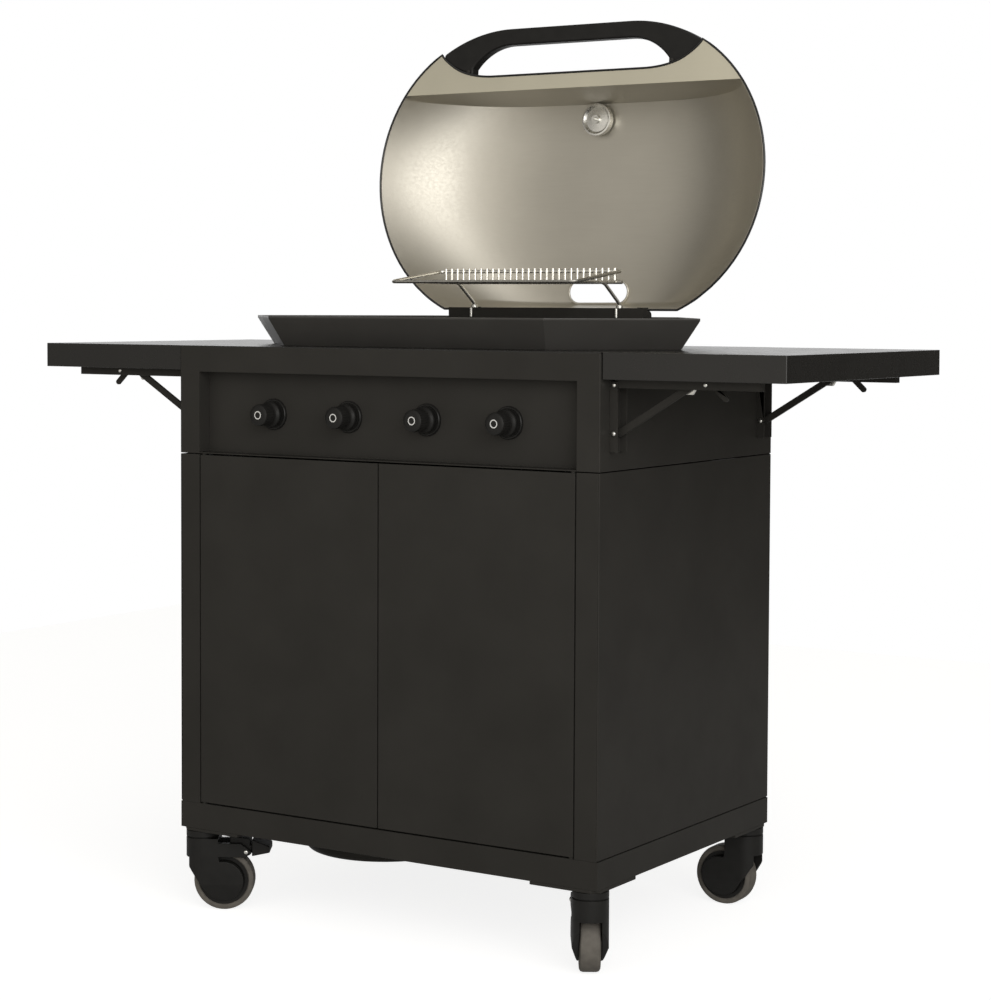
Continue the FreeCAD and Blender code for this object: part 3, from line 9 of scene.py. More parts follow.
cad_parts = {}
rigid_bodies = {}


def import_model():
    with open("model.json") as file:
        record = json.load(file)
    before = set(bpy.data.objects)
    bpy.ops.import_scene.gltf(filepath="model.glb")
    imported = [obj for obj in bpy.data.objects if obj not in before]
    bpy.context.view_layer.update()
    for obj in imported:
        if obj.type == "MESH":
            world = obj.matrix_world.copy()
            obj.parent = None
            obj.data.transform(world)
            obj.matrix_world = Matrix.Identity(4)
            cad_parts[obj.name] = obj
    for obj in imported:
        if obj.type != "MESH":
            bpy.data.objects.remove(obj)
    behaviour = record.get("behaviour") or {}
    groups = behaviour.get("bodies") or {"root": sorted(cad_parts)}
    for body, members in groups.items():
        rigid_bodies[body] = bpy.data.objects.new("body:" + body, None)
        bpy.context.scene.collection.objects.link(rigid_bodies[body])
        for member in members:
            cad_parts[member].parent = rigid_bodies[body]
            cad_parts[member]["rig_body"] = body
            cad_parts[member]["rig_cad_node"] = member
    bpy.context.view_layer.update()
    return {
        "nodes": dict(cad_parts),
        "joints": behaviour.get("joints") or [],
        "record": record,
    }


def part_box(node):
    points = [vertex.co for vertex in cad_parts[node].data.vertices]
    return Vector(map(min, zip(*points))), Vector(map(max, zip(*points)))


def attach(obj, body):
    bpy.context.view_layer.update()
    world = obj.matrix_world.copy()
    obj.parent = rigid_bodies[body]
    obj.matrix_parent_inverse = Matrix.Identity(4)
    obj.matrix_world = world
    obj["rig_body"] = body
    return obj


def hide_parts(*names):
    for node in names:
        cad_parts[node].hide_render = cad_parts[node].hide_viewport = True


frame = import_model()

bl_info = {
    "name": "Gas grill",
    "version": (1, 0, 0),
    "blender": (4, 5, 0),
    "location": "3D View > Sidebar > Grill",
    "description": "Dresses the packed gas grill: panels, lid, rack, knobs, casters, brackets and finishes",
    "category": "Add Mesh",
}

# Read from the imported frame, in metres
JOINTS = {joint["name"]: joint for joint in frame["joints"]}
SLOTS = {part["node"]: part["material_slot"] for part in frame["record"]["subparts"]}
BODIES = {node: obj["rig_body"] for node, obj in frame["nodes"].items()}
HINGE = Vector(JOINTS["lid_hinge"]["pos_m"])
LID_OPEN = math.radians(JOINTS["lid_hinge"]["range_deg"][0])

# Places and directions
CORNERS = ("front_left", "front_right", "rear_left", "rear_right")
SIDES = {"left": -1, "right": 1}
KNOBS = (1, 2, 3, 4)
UP, FRONTWARD = (0, 0, 1), (0, -1, 0)

# Modelling tolerances
MERGE_DISTANCE = 0.00001
NEAR = 0.0002
FLAT_ANGLE = math.radians(0.5)
CORNER_ANGLE = math.radians(40)
SMOOTH_ANGLE = math.radians(32)

# Lid, drawn closed: distance in front of the hinge line and half width
LID_BACK, LID_MIDDLE, LID_FRONT = 0.010, 0.247, 0.469
LID_OUTLINE = ((LID_BACK, 0.237), (LID_MIDDLE, 0.390), (LID_FRONT, 0.265))
LID_CORNER = LID_OUTLINE[-1][1]
LID_RIM = 0.003
LID_COLUMNS, REAR_ROWS, ROOF_ROWS, WALL_ROWS, FLANGE_ROWS = 66, 10, 24, 6, 8
DISH_BACK, DISH_FRONT = 0.012, 0.398
DISH_REAR_CURVE, DISH_FRONT_LEAN = 0.022, 0.008
# Power of the curve across the dish; a higher one gives a flatter roof
DISH_FULLNESS = 4
NOTCH_DEPTH, NOTCH_HALF, NOTCH_BLEND = 0.044, 0.166, 0.040
VENT_MIDDLE, VENT_HALF, VENT_WIDTH = 0.051, 0.061, 0.042
# Ends of the vent's cutter, as shares of the dish's depth
VENT_CUT_LOW, VENT_CUT_HIGH = 1 / 3, 1.2
LIP_STEPS, LIP_BEND = 32, 0.0005
LUG_X, LUG_WIDTH, LUG_RADIUS, LUG_BORE = 0.160, 0.020, 0.0075, 0.003
# Arm of a lug: how far it runs under the lid and into the lug, and its thickness
ARM_REACH, ARM_BITE, ARM_THICK = 0.004, 0.001, 0.002
HANDLE_SCREW_X, HANDLE_SCREW_FORWARD = 0.207, 0.436

# Thermometer: place on the lid, radii, and heights above the lid's roof
THERMO_X, THERMO_FORWARD = -0.010, 0.360
STEM_RADIUS, NECK_RADIUS, CAN_RADIUS, COLLAR_RADIUS = 0.0030, 0.0075, 0.0295, 0.008
STEM_END, NECK_END, NECK_START, CAN_TOP = -0.030, -0.022, -0.016, -0.003
DIAL_RADIUS, DIAL_BASE = 0.026, 0.001
FACE_RADIUS, FACE_LOW, FACE_HIGH = 0.0215, 0.006, 0.0065
NEEDLE_HALF, NEEDLE_TAIL, NEEDLE_TIP = 0.0008, 0.004, 0.018
NEEDLE_LOW, NEEDLE_HIGH = 0.0066, 0.0074

# Warming rack
RACK_HALF, RACK_DEPTH, RACK_FENCE, RACK_COMB = 0.182, 0.153, 0.024, 0.005
RACK_LEG_X, RACK_LEG_BEND_RISE, RACK_LEG_DEPTH, RACK_LEG_LAP = 0.147, 0.007, 0.014, 0.03
WIRE_RADIUS, FRAME_WIRE_RADIUS = 0.0023, 0.003
WIRE_BEND, FRAME_BEND, LEG_BEND = 0.006, 0.012, 0.010
WIRE_FACETS = 3
RACK_POST_RADIUS, RACK_POST_LENGTH, RACK_POST_ROUND = 0.0028, 0.017, 0.001
FERRULE_RADIUS, FERRULE_NECK = 0.006, 0.0045
FERRULE_SHOULDER, FERRULE_HEIGHT = 0.004, 0.0055

# Cabinet
PANEL_JOINT = 0.0015
# Depth behind the front face in which an edge belongs to that face
FRONT_SKIN = 0.003
SMOOTH_TOPS = ("shelf_left", "shelf_right", "table_deck")

# Controls: radii of the turned pieces
KNOB_SKIRT, KNOB_WAIST, KNOB_GRIP, KNOB_FACE = 0.0210, 0.0168, 0.0175, 0.0120
# Half width of a flute as a share of its pitch, and how far it is pressed in
FLUTE_HALF, FLUTE_SHRINK = 0.1, 0.955
RING_INNER, RING_OUTER, RING_THICK = 0.0050, 0.0066, 0.0002
BEZEL_BORE, BEZEL_RADIUS, BEZEL_RIM = 0.0046, 0.0255, 0.0008

# Casters
WHEEL_HALF = 0.0160
TYRE_INNER, TYRE_RADIUS = 0.0405, 0.0500
HUB_BORE, HUB_RADIUS = 0.0042, 0.0407
BRAKE_PIN_HALF = 0.028
# Brow over a fork's window: how far below the fork's top it is, and how far it is raised
BROW_DOWN, BROW_RISE = 0.033, 0.016

# Brackets
BRACKET_SPACING = 0.486
TAB_OUT, TAB_LEAN, TAB_WIDTH, TAB_DROP, TAB_ROUND = 0.528, 0.013, 0.012, 0.021, 0.001
RIVET_RADIUS, RIVET_DOME, RIVET_RINGS = 0.0036, 0.0018, 6

# Finishes: the part of the noise's range that shows, and the stretch of an even grain
GRAIN_LOW, GRAIN_HIGH = 0.3, 0.7
EVEN = (1, 1, 1)

# Studio
FLOOR_SIZE, FLOOR_COLOUR = 6.0, (0.55, 0.55, 0.54)
# Glow of the floor to the camera and in reflections
FLOOR_GLOW, FLOOR_MIRRORED = 0.84, 0.22
ROOM_LIGHT, ROOM_COLOUR = (0.50, -0.86, -0.20), (1.0, 0.96, 0.89, 1)
# Range of facing over which the room's light grows, and its weakest and strongest
ROOM_START, ROOM_END, ROOM_DIM, ROOM_BRIGHT = -0.2, 1.0, 0.08, 0.95
BACKDROP, BACKDROP_START, BACKDROP_END = (-0.50, 0.85, 0.17), 0.70, 0.92
WHITE = (1, 1, 1, 1)

# Camera that took the photo, worked out from the corners of the cabinet
CAMERA_PLACE = (2.1519, -3.3668, 1.0107)
CAMERA_YAW, CAMERA_PITCH, CAMERA_ROLL = 0.5699, 0.0492, 0.0044
CAMERA_LENS, CAMERA_SENSOR, CAMERA_SHIFT = 85.565, 36.0, -0.08


class GrillSizes(bpy.types.PropertyGroup):
    """Sizes that the frame doesn't give."""
    sheet_round: FloatProperty(
        name="Sheet edge", description="Rounding of cut sheet edges", default=0.0007, unit="LENGTH")
    panel_round: FloatProperty(
        name="Panel corner", description="Rounding of folded panel corners", default=0.0018, unit="LENGTH")
    casting_round: FloatProperty(
        name="Casting edge", description="Rounding of cast and moulded edges", default=0.0016, unit="LENGTH")
    fork_round: FloatProperty(
        name="Fork edge", description="Rounding of the caster forks' edges", default=0.0012, unit="LENGTH")
    handle_round: FloatProperty(
        name="Handle edge", description="Rounding of the handle's edges", default=0.004, unit="LENGTH")
    dish_depth: FloatProperty(
        name="Dish depth", description="Depth of the lid's dish below its rim", default=0.142, unit="LENGTH")
    lid_sheet: FloatProperty(
        name="Lid sheet", description="Thickness of the lid's sheet", default=0.002, unit="LENGTH")
    lid_bead: FloatProperty(
        name="Lid bead", description="Radius of the rolled edge round the lid", default=0.002, unit="LENGTH")
    rack_wires: IntProperty(
        name="Rack wires", description="Number of cross wires in the warming rack", default=31, min=2)
    knob_flutes: IntProperty(
        name="Knob flutes", description="Number of grip flutes round each knob", default=24, min=3)


class GrillColours(bpy.types.PropertyGroup):
    """Base colours of the finishes."""
    black_coat: FloatVectorProperty(
        name="Black coat", description="Powder coat of cabinet and doors",
        subtype="COLOR", default=(0.0395, 0.0376, 0.0341))
    shelf_coat: FloatVectorProperty(
        name="Shelf coat", description="Smoother coat of the shelves and the deck",
        subtype="COLOR", default=(0.0120, 0.0112, 0.0098))
    grey_coat: FloatVectorProperty(
        name="Basin coat", description="Coat of the flared basin",
        subtype="COLOR", default=(0.060, 0.0575, 0.0535))
    enamel: FloatVectorProperty(
        name="Lid enamel", description="Outside of the lid",
        subtype="COLOR", default=(0.012, 0.012, 0.012))
    steel: FloatVectorProperty(
        name="Steel", description="Inside of the lid and the firebox",
        subtype="COLOR", default=(0.61, 0.582, 0.514))
    # Flange: the lid's own steel in a lighter colour, a painted highlight for the brighter lit look of the
    # flat front strip
    flange: FloatVectorProperty(
        name="Flange", description="Flat front flange of the lid",
        subtype="COLOR", default=(0.80, 0.76, 0.62))
    wire: FloatVectorProperty(
        name="Wire", description="Plated wires of the rack",
        subtype="COLOR", default=(0.82, 0.80, 0.74))
    zinc: FloatVectorProperty(
        name="Zinc", description="Rivets, pins and plated fittings",
        subtype="COLOR", default=(0.78, 0.77, 0.73))
    black_plastic: FloatVectorProperty(
        name="Black plastic", description="Handle, knobs and caster forks",
        subtype="COLOR", default=(0.0170, 0.0165, 0.0155))
    tyre: FloatVectorProperty(
        name="Tyre", description="Treads of the casters",
        subtype="COLOR", default=(0.160, 0.147, 0.129))
    cast_iron: FloatVectorProperty(
        name="Cast iron", description="Grate and hotplate",
        subtype="COLOR", default=(0.028, 0.027, 0.026))
    brass: FloatVectorProperty(
        name="Brass", description="Gas valves",
        subtype="COLOR", default=(0.62, 0.50, 0.26))
    mark: FloatVectorProperty(
        name="Mark", description="Ring on each knob and face of the thermometer",
        subtype="COLOR", default=(0.80, 0.80, 0.78))


# Selecting and editing

def activate(obj):
    """Select one object alone."""
    bpy.ops.object.select_all(action="DESELECT")
    obj.select_set(True)
    bpy.context.view_layer.objects.active = obj


def enter_edit(obj, kind="VERT"):
    """Edit an object, with nothing of it selected."""
    activate(obj)
    bpy.ops.object.mode_set(mode="EDIT")
    bpy.ops.mesh.select_mode(type=kind)
    bpy.ops.mesh.select_all(action="DESELECT")


def leave_edit():
    bpy.ops.object.mode_set(mode="OBJECT")


def pick_edges(obj, test):
    """Select the edges that pass the test."""
    mesh = bmesh.from_edit_mesh(obj.data)
    for edge in mesh.edges:
        if test(edge):
            edge.select_set(True)
    bmesh.update_edit_mesh(obj.data)


def pick_vertices(obj, test):
    """Select the vertices whose place passes the test."""
    mesh = bmesh.from_edit_mesh(obj.data)
    for vertex in mesh.verts:
        if test(vertex.co):
            vertex.select_set(True)
    mesh.select_flush_mode()
    bmesh.update_edit_mesh(obj.data)


def is_corner(edge):
    """Whether two faces meet at this edge in a clear angle."""
    return len(edge.link_faces) == 2 and edge.calc_face_angle() > CORNER_ANGLE


def middle_of(edge):
    return (edge.verts[0].co + edge.verts[1].co) / 2


def apply_place(obj):
    """Take an object's place, turn and scale into its mesh."""
    activate(obj)
    bpy.ops.object.transform_apply(location=True, rotation=True, scale=True)


def round_edges(obj, radius, test=None, segments=2):
    """Round the sharp edges that pass the test."""
    enter_edit(obj, "EDGE")
    pick_edges(obj, lambda edge: is_corner(edge) and (test is None or test(middle_of(edge))))
    bpy.ops.mesh.bevel(offset=radius, segments=segments, affect="EDGES", clamp_overlap=False)
    leave_edit()


def join(pieces):
    """Join pieces into the first of them."""
    activate(pieces[0])
    for piece in pieces[1:]:
        piece.select_set(True)
    bpy.ops.object.join()
    return bpy.context.object


# Shapes

def block(low, high):
    """Box between two corners."""
    low, high = Vector(low), Vector(high)
    bpy.ops.mesh.primitive_cube_add(size=1, location=(low + high) / 2, scale=high - low)
    obj = bpy.context.object
    apply_place(obj)
    return obj


def turned(profile, place, axis, steps=48):
    """Solid turned about an axis; the profile gives radius and distance along the axis."""
    mesh = bpy.data.meshes.new("turned")
    points = [(radius, 0, along) for radius, along in profile]
    mesh.from_pydata(points, [(i, i + 1) for i in range(len(points) - 1)], [])
    obj = bpy.data.objects.new("turned", mesh)
    bpy.context.scene.collection.objects.link(obj)
    enter_edit(obj)
    bpy.ops.mesh.select_all(action="SELECT")
    bpy.ops.mesh.spin(steps=steps, angle=2 * math.pi, center=(0, 0, 0), axis=UP)
    bpy.ops.mesh.select_all(action="SELECT")
    bpy.ops.mesh.remove_doubles(threshold=MERGE_DISTANCE)
    bpy.ops.mesh.normals_make_consistent(inside=False)
    leave_edit()
    obj.rotation_mode = "QUATERNION"
    obj.rotation_quaternion = Vector(UP).rotation_difference(Vector(axis))
    obj.location = place
    apply_place(obj)
    return obj


def flat_ring(inner, outer, start, end):
    """Closed profile of a flat ring between two radii."""
    return [(inner, start), (outer, start), (outer, end), (inner, end), (inner, start)]


def rounded_path(points, bend, steps=6):
    """Points of a path with every inner corner drawn as an arc."""
    path = [points[0]]
    for before, corner, after in zip(points, points[1:], points[2:]):
        start = corner + (before - corner).normalized() * bend
        end = corner + (after - corner).normalized() * bend
        for step in range(steps + 1):
            share = step / steps
            path.append(start * (1 - share) ** 2 + corner * 2 * share * (1 - share) + end * share ** 2)
    path.append(points[-1])
    return path


def wire(points, radius, bend=WIRE_BEND):
    """Round wire along a path of points."""
    path = rounded_path([Vector(point) for point in points], bend)
    curve = bpy.data.curves.new("wire", "CURVE")
    curve.dimensions = "3D"
    curve.bevel_depth = radius
    curve.bevel_resolution = WIRE_FACETS
    curve.use_fill_caps = True
    spline = curve.splines.new("POLY")
    spline.points.add(len(path) - 1)
    for spot, point in zip(spline.points, path):
        spot.co = (*point, 1)
    obj = bpy.data.objects.new("wire", curve)
    bpy.context.scene.collection.objects.link(obj)
    activate(obj)
    bpy.ops.object.convert(target="MESH")
    return bpy.context.object


def smooth_shading(obj):
    """Shade curves smooth and keep large faces flat beside their rounded edges."""
    activate(obj)
    bpy.ops.object.shade_smooth_by_angle(angle=SMOOTH_ANGLE)
    bpy.ops.object.modifier_add(type="WEIGHTED_NORMAL")
    flat = obj.modifiers[-1]
    flat.keep_sharp = True
    bpy.ops.object.modifier_apply(modifier=flat.name)


def finish_piece(obj, name, body, coats=(), stands_for=()):
    """Name a piece, give it its finish and let it ride on its body."""
    apply_place(obj)
    smooth_shading(obj)
    obj.name = name
    obj.data.name = name
    for coat in coats:
        obj.data.materials.append(finish(coat))
    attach(obj, body)
    if stands_for:
        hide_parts(*stands_for)
    return obj


def copy_of(node):
    """Loose copy of a CAD node with its triangles merged into flat faces."""
    activate(frame["nodes"][node])
    bpy.ops.object.duplicate()
    copy = bpy.context.object
    bpy.ops.object.parent_clear(type="CLEAR_KEEP_TRANSFORM")
    del copy["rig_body"]
    del copy["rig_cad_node"]
    copy.data.materials.clear()
    enter_edit(copy)
    bpy.ops.mesh.select_all(action="SELECT")
    bpy.ops.mesh.customdata_custom_splitnormals_clear()
    bpy.ops.mesh.remove_doubles(threshold=MERGE_DISTANCE)
    bpy.ops.mesh.dissolve_limited(angle_limit=FLAT_ANGLE)
    leave_edit()
    return copy


def move_level(copy, height, shift):
    """Move all of a copy's corners that lie at one height up or down."""
    enter_edit(copy)
    pick_vertices(copy, lambda spot: abs(spot.z - height) < NEAR)
    bpy.ops.transform.translate(value=(0, 0, shift))
    leave_edit()


def show_copy(copy, node):
    """Show a finished copy in the place of its CAD node."""
    coat = "shelf_coat" if node in SMOOTH_TOPS else SLOTS[node]
    return finish_piece(copy, node + "_rounded", BODIES[node], (coat,), (node,))


def rounded_copy(node, radius, test=None, segments=2):
    """Copy of a CAD node with rounded edges."""
    copy = copy_of(node)
    round_edges(copy, radius, test, segments)
    return show_copy(copy, node)


def folded_copy(node, sizes, is_fold, test=None, shifts=()):
    """Copy of a sheet node whose folded corners are rounder than its cut edges.

    Each shift gives a height and how far the corners at that height move.
    """
    copy = copy_of(node)
    for height, shift in shifts:
        move_level(copy, height, shift)
    round_edges(copy, sizes.panel_round, is_fold, 3)
    round_edges(copy, sizes.sheet_round, lambda point: not is_fold(point) and (test is None or test(point)))
    return show_copy(copy, node)


def outer_corner(node):
    """Test for the upright edges at the outer end of a node on one side of the grill."""
    low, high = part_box(node)
    outer = max(abs(low.x), abs(high.x))

    def on_corner(point):
        at_end = abs(abs(point.x) - outer) < NEAR
        return at_end and min(abs(point.y - low.y), abs(point.y - high.y)) < NEAR

    return on_corner


# Finishes

def start_finish(name):
    material = bpy.data.materials.new(name)
    material.use_nodes = True
    return material, material.node_tree.nodes["Principled BSDF"]


def grain(material, cells, stretch, detail):
    """Noise over the piece's own coordinates, in cells per metre."""
    tree = material.node_tree
    place = tree.nodes.new("ShaderNodeTexCoord")
    mapping = tree.nodes.new("ShaderNodeMapping")
    mapping.inputs["Scale"].default_value = stretch
    noise = tree.nodes.new("ShaderNodeTexNoise")
    noise.inputs["Scale"].default_value = cells
    noise.inputs["Detail"].default_value = detail
    tree.links.new(place.outputs["Object"], mapping.inputs["Vector"])
    tree.links.new(mapping.outputs["Vector"], noise.inputs["Vector"])
    return noise.outputs["Fac"]


def vary_colour(material, shader, colour, amount, cells):
    """Base colour that drifts a little lighter and darker."""
    pattern = grain(material, cells, EVEN, detail=3.0)
    tree = material.node_tree
    ramp = tree.nodes.new("ShaderNodeValToRGB")
    shares = (1 - amount, 1 + amount)
    for element, place, share in zip(ramp.color_ramp.elements, (GRAIN_LOW, GRAIN_HIGH), shares):
        element.position = place
        element.color = (*[part * share for part in colour], 1)
    tree.links.new(pattern, ramp.inputs["Fac"])
    tree.links.new(ramp.outputs["Color"], shader.inputs["Base Color"])


def vary_roughness(material, shader, low, high, cells, stretch=EVEN):
    """Roughness that drifts between two values."""
    pattern = grain(material, cells, stretch, detail=3.0)
    tree = material.node_tree
    spread = tree.nodes.new("ShaderNodeMapRange")
    spread.inputs["From Min"].default_value = GRAIN_LOW
    spread.inputs["From Max"].default_value = GRAIN_HIGH
    spread.inputs["To Min"].default_value = low
    spread.inputs["To Max"].default_value = high
    tree.links.new(pattern, spread.inputs["Value"])
    tree.links.new(spread.outputs["Result"], shader.inputs["Roughness"])


def add_bump(material, shader, height, strength, cells, stretch=EVEN, detail=1.0):
    """Fine relief of the surface, its height in metres."""
    pattern = grain(material, cells, stretch, detail)
    tree = material.node_tree
    bump = tree.nodes.new("ShaderNodeBump")
    bump.inputs["Strength"].default_value = strength
    bump.inputs["Distance"].default_value = height
    tree.links.new(pattern, bump.inputs["Height"])
    tree.links.new(bump.outputs["Normal"], shader.inputs["Normal"])


def powder_coat(name, colour, gloss, low=0.30, high=0.38):
    """Sprayed coat with a fine orange-peel skin."""
    material, shader = start_finish(name)
    shader.inputs["Specular IOR Level"].default_value = gloss
    vary_colour(material, shader, colour, amount=0.08, cells=9)
    vary_roughness(material, shader, low, high, cells=30)
    add_bump(material, shader, height=0.00008, strength=0.25, cells=900)
    return material


def lid_enamel(name, colour):
    """Glossy fired enamel."""
    material, shader = start_finish(name)
    vary_colour(material, shader, colour, amount=0.10, cells=14)
    vary_roughness(material, shader, low=0.16, high=0.24, cells=25)
    add_bump(material, shader, height=0.00006, strength=0.2, cells=500)
    return material


def satin_steel(name, colour):
    """Stainless sheet with a fine grain across the grill."""
    material, shader = start_finish(name)
    shader.inputs["Metallic"].default_value = 1.0
    vary_colour(material, shader, colour, amount=0.05, cells=5)
    vary_roughness(material, shader, low=0.44, high=0.52, cells=260, stretch=(0.06, 1, 1))
    add_bump(material, shader, height=0.00002, strength=0.12, cells=1400, stretch=(0.03, 1, 1))
    return material


def plated(name, colour, low, high):
    """Bright plating with slight clouding."""
    material, shader = start_finish(name)
    shader.inputs["Metallic"].default_value = 1.0
    vary_colour(material, shader, colour, amount=0.06, cells=120)
    vary_roughness(material, shader, low, high, cells=200)
    return material


def moulded_plastic(name, colour, low, high):
    """Moulded plastic with a faint texture."""
    material, shader = start_finish(name)
    shader.inputs["Specular IOR Level"].default_value = 0.2
    vary_colour(material, shader, colour, amount=0.10, cells=60)
    vary_roughness(material, shader, low, high, cells=150)
    add_bump(material, shader, height=0.00004, strength=0.2, cells=1500)
    return material


def tyre_rubber(name, colour):
    """Grey rubber with a dusty tread."""
    material, shader = start_finish(name)
    shader.inputs["Specular IOR Level"].default_value = 0.3
    vary_colour(material, shader, colour, amount=0.16, cells=70)
    vary_roughness(material, shader, low=0.60, high=0.75, cells=100)
    add_bump(material, shader, height=0.0001, strength=0.3, cells=700, detail=2.0)
    return material


def rough_casting(name, colour):
    """Enamelled cast iron with a sandy skin."""
    material, shader = start_finish(name)
    vary_colour(material, shader, colour, amount=0.18, cells=40)
    vary_roughness(material, shader, low=0.42, high=0.60, cells=60)
    add_bump(material, shader, height=0.0004, strength=0.35, cells=420, detail=2.0)
    return material


def mark_paint(name, colour):
    """Printed mark."""
    material, shader = start_finish(name)
    vary_colour(material, shader, colour, amount=0.04, cells=300)
    vary_roughness(material, shader, low=0.40, high=0.50, cells=300)
    return material


def make_finish(name, title):
    """New material for a finish."""
    colours = bpy.context.scene.grill_colours
    makers = {
        "black_coat": lambda: powder_coat(title, colours.black_coat, gloss=0.05),
        "shelf_coat": lambda: powder_coat(title, colours.shelf_coat, gloss=0.55, low=0.24, high=0.30),
        "grey_coat": lambda: powder_coat(title, colours.grey_coat, gloss=0.40),
        "lid_enamel": lambda: lid_enamel(title, colours.enamel),
        "steel": lambda: satin_steel(title, colours.steel),
        # Same satin steel as the dish, from the lighter flange colour: painted highlight on the front strip
        "flange": lambda: satin_steel(title, colours.flange),
        "wire": lambda: plated(title, colours.wire, low=0.24, high=0.32),
        "zinc": lambda: plated(title, colours.zinc, low=0.24, high=0.34),
        "black_plastic": lambda: moulded_plastic(title, colours.black_plastic, low=0.38, high=0.46),
        "gloss_plastic": lambda: moulded_plastic(title, colours.black_plastic, low=0.18, high=0.24),
        "tyre": lambda: tyre_rubber(title, colours.tyre),
        "cast_iron": lambda: rough_casting(title, colours.cast_iron),
        "brass": lambda: plated(title, colours.brass, low=0.26, high=0.36),
        "mark": lambda: mark_paint(title, colours.mark),
    }
    return makers[name]()


def finish(name):
    """Material for a finish, made on its first use; the frame's own materials keep the plain names."""
    title = name + "_finish"
    return bpy.data.materials.get(title) or make_finish(name, title)


# Cabinet

def seam_test():
    """Which edges of a panel are rounded: all but those that meet a neighbour in one flat surface."""
    deck_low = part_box("table_deck")[0].z
    inner_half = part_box("front_fascia")[1].x
    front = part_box("front_fascia")[0].y

    def rounded(point):
        under_deck = abs(point.z - deck_low) < NEAR
        beside_stile = abs(abs(point.x) - inner_half) < NEAR and point.y < front + FRONT_SKIN
        return not (under_deck or beside_stile)

    return rounded


def joint_shifts(node):
    """Levels at which a panel ends short of its neighbour, so that the joint shows as a dark line."""
    low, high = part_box(node)
    shifts = []
    if node.startswith(("stile_", "side_panel_")):
        shifts.append((high.z, -PANEL_JOINT))
    if node.startswith("side_panel_"):
        shifts.append((low.z, PANEL_JOINT))
    return shifts


def dress_cabinet(sizes):
    """Panels, frame and doors of the cabinet."""
    away_from_seams = seam_test()
    for node in ("table_deck", "front_fascia"):
        rounded_copy(node, sizes.sheet_round, away_from_seams)
    for side in SIDES:
        for group in ("housing_side_", "stile_", "side_panel_"):
            node = group + side
            folded_copy(node, sizes, outer_corner(node), away_from_seams, joint_shifts(node))
    for node in ("control_panel", "base_pan", "housing_back", "back_panel", "caster_plates", "bottle_well",
                 "drip_tray", "rack_rail", "lid_hinge_posts"):
        rounded_copy(node, sizes.sheet_round)
    for side in SIDES:
        rounded_copy("door_" + side, sizes.sheet_round, segments=3)


def dress_basin(sizes):
    """Flared basin, grate and hotplate."""
    rounded_copy("basin", sizes.sheet_round)
    rounded_copy("cooking_grate", sizes.casting_round, segments=3)
    rounded_copy("hotplate", sizes.casting_round, segments=3)


# Shelves and brackets

def rivet(place, axis=FRONTWARD):
    """Domed rivet head that faces along the axis."""
    profile = [(0, RIVET_DOME)]
    for step in range(1, RIVET_RINGS + 1):
        angle = step / RIVET_RINGS * math.pi / 2
        profile.append((RIVET_RADIUS * math.sin(angle), RIVET_DOME * math.cos(angle)))
    return turned(profile + [(0, 0)], place, axis, steps=24)


def shelf_tab(sign, front, back, top):
    """Leaning plated tab under a shelf."""
    inner, outer = sorted((sign * TAB_OUT, sign * (TAB_OUT + TAB_WIDTH)))
    tab = block((inner, front, top - TAB_DROP), (outer, back, top))
    enter_edit(tab)
    pick_vertices(tab, lambda spot: spot.z < top - NEAR)
    bpy.ops.transform.translate(value=(-sign * TAB_LEAN, 0, 0))
    leave_edit()
    round_edges(tab, TAB_ROUND)
    return tab


def dress_tabs():
    """Tabs under both shelves, one at each bracket."""
    for side, sign in SIDES.items():
        shelf = "shelf_" + side
        lever_low, lever_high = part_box("shelf_levers_" + side)
        depth = lever_high.y - lever_low.y - BRACKET_SPACING
        tabs = []
        for back in (0, BRACKET_SPACING):
            front = lever_low.y + back
            tabs.append(shelf_tab(sign, front, front + depth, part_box(shelf)[0].z))
        finish_piece(join(tabs), f"shelf_tabs_{side}", BODIES[shelf], ("zinc",))


def dress_shelves(sizes):
    """Shelves with the sheet pieces of their brackets."""
    for side in SIDES:
        node = "shelf_" + side
        folded_copy(node, sizes, outer_corner(node))
        for group in ("shelf_rails_", "shelf_struts_", "shelf_levers_"):
            rounded_copy(group + side, sizes.sheet_round)
    rounded_copy("shelf_wall_legs", sizes.sheet_round)


def dress_rivets():
    """Rivet heads on the brackets' pivots."""
    head_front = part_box("shelf_wall_legs")[0].y
    fixed = []
    for side in SIDES:
        shelf_pivot = JOINTS[f"shelf_{side}_fold"]["pos_m"]
        strut_pivot = JOINTS[f"strut_{side}_turn"]["pos_m"]
        lever_pivot = JOINTS[f"release_{side}_lift"]["pos_m"]
        rail_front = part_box("shelf_rails_" + side)[0].y
        moving = []
        for back in (0, BRACKET_SPACING):
            for pivot in (shelf_pivot, strut_pivot):
                fixed.append(rivet((pivot[0], head_front + back, pivot[2])))
            moving.append(rivet((lever_pivot[0], rail_front + back, lever_pivot[2])))
        finish_piece(join(moving), f"lever_rivets_{side}", BODIES["shelf_rails_" + side], ("zinc",))
    finish_piece(join(fixed), "pivot_rivets", "cabinet", ("zinc",))


# Lid

def bowed(points):
    """Half width along the lid of the arc through three points."""
    (a, p), (b, q), (c, r) = points
    # Centre and radius of the circle through the three points
    divisor = 2 * (a * (q - r) + b * (r - p) + c * (p - q))
    squares = (a * a + p * p, b * b + q * q, c * c + r * r)
    along = (squares[0] * (q - r) + squares[1] * (r - p) + squares[2] * (p - q)) / divisor
    across = (squares[0] * (c - b) + squares[1] * (a - c) + squares[2] * (b - a)) / divisor
    radius = math.hypot(a - along, p - across)
    return lambda forward: across + math.sqrt(max(0, radius ** 2 - (forward - along) ** 2))


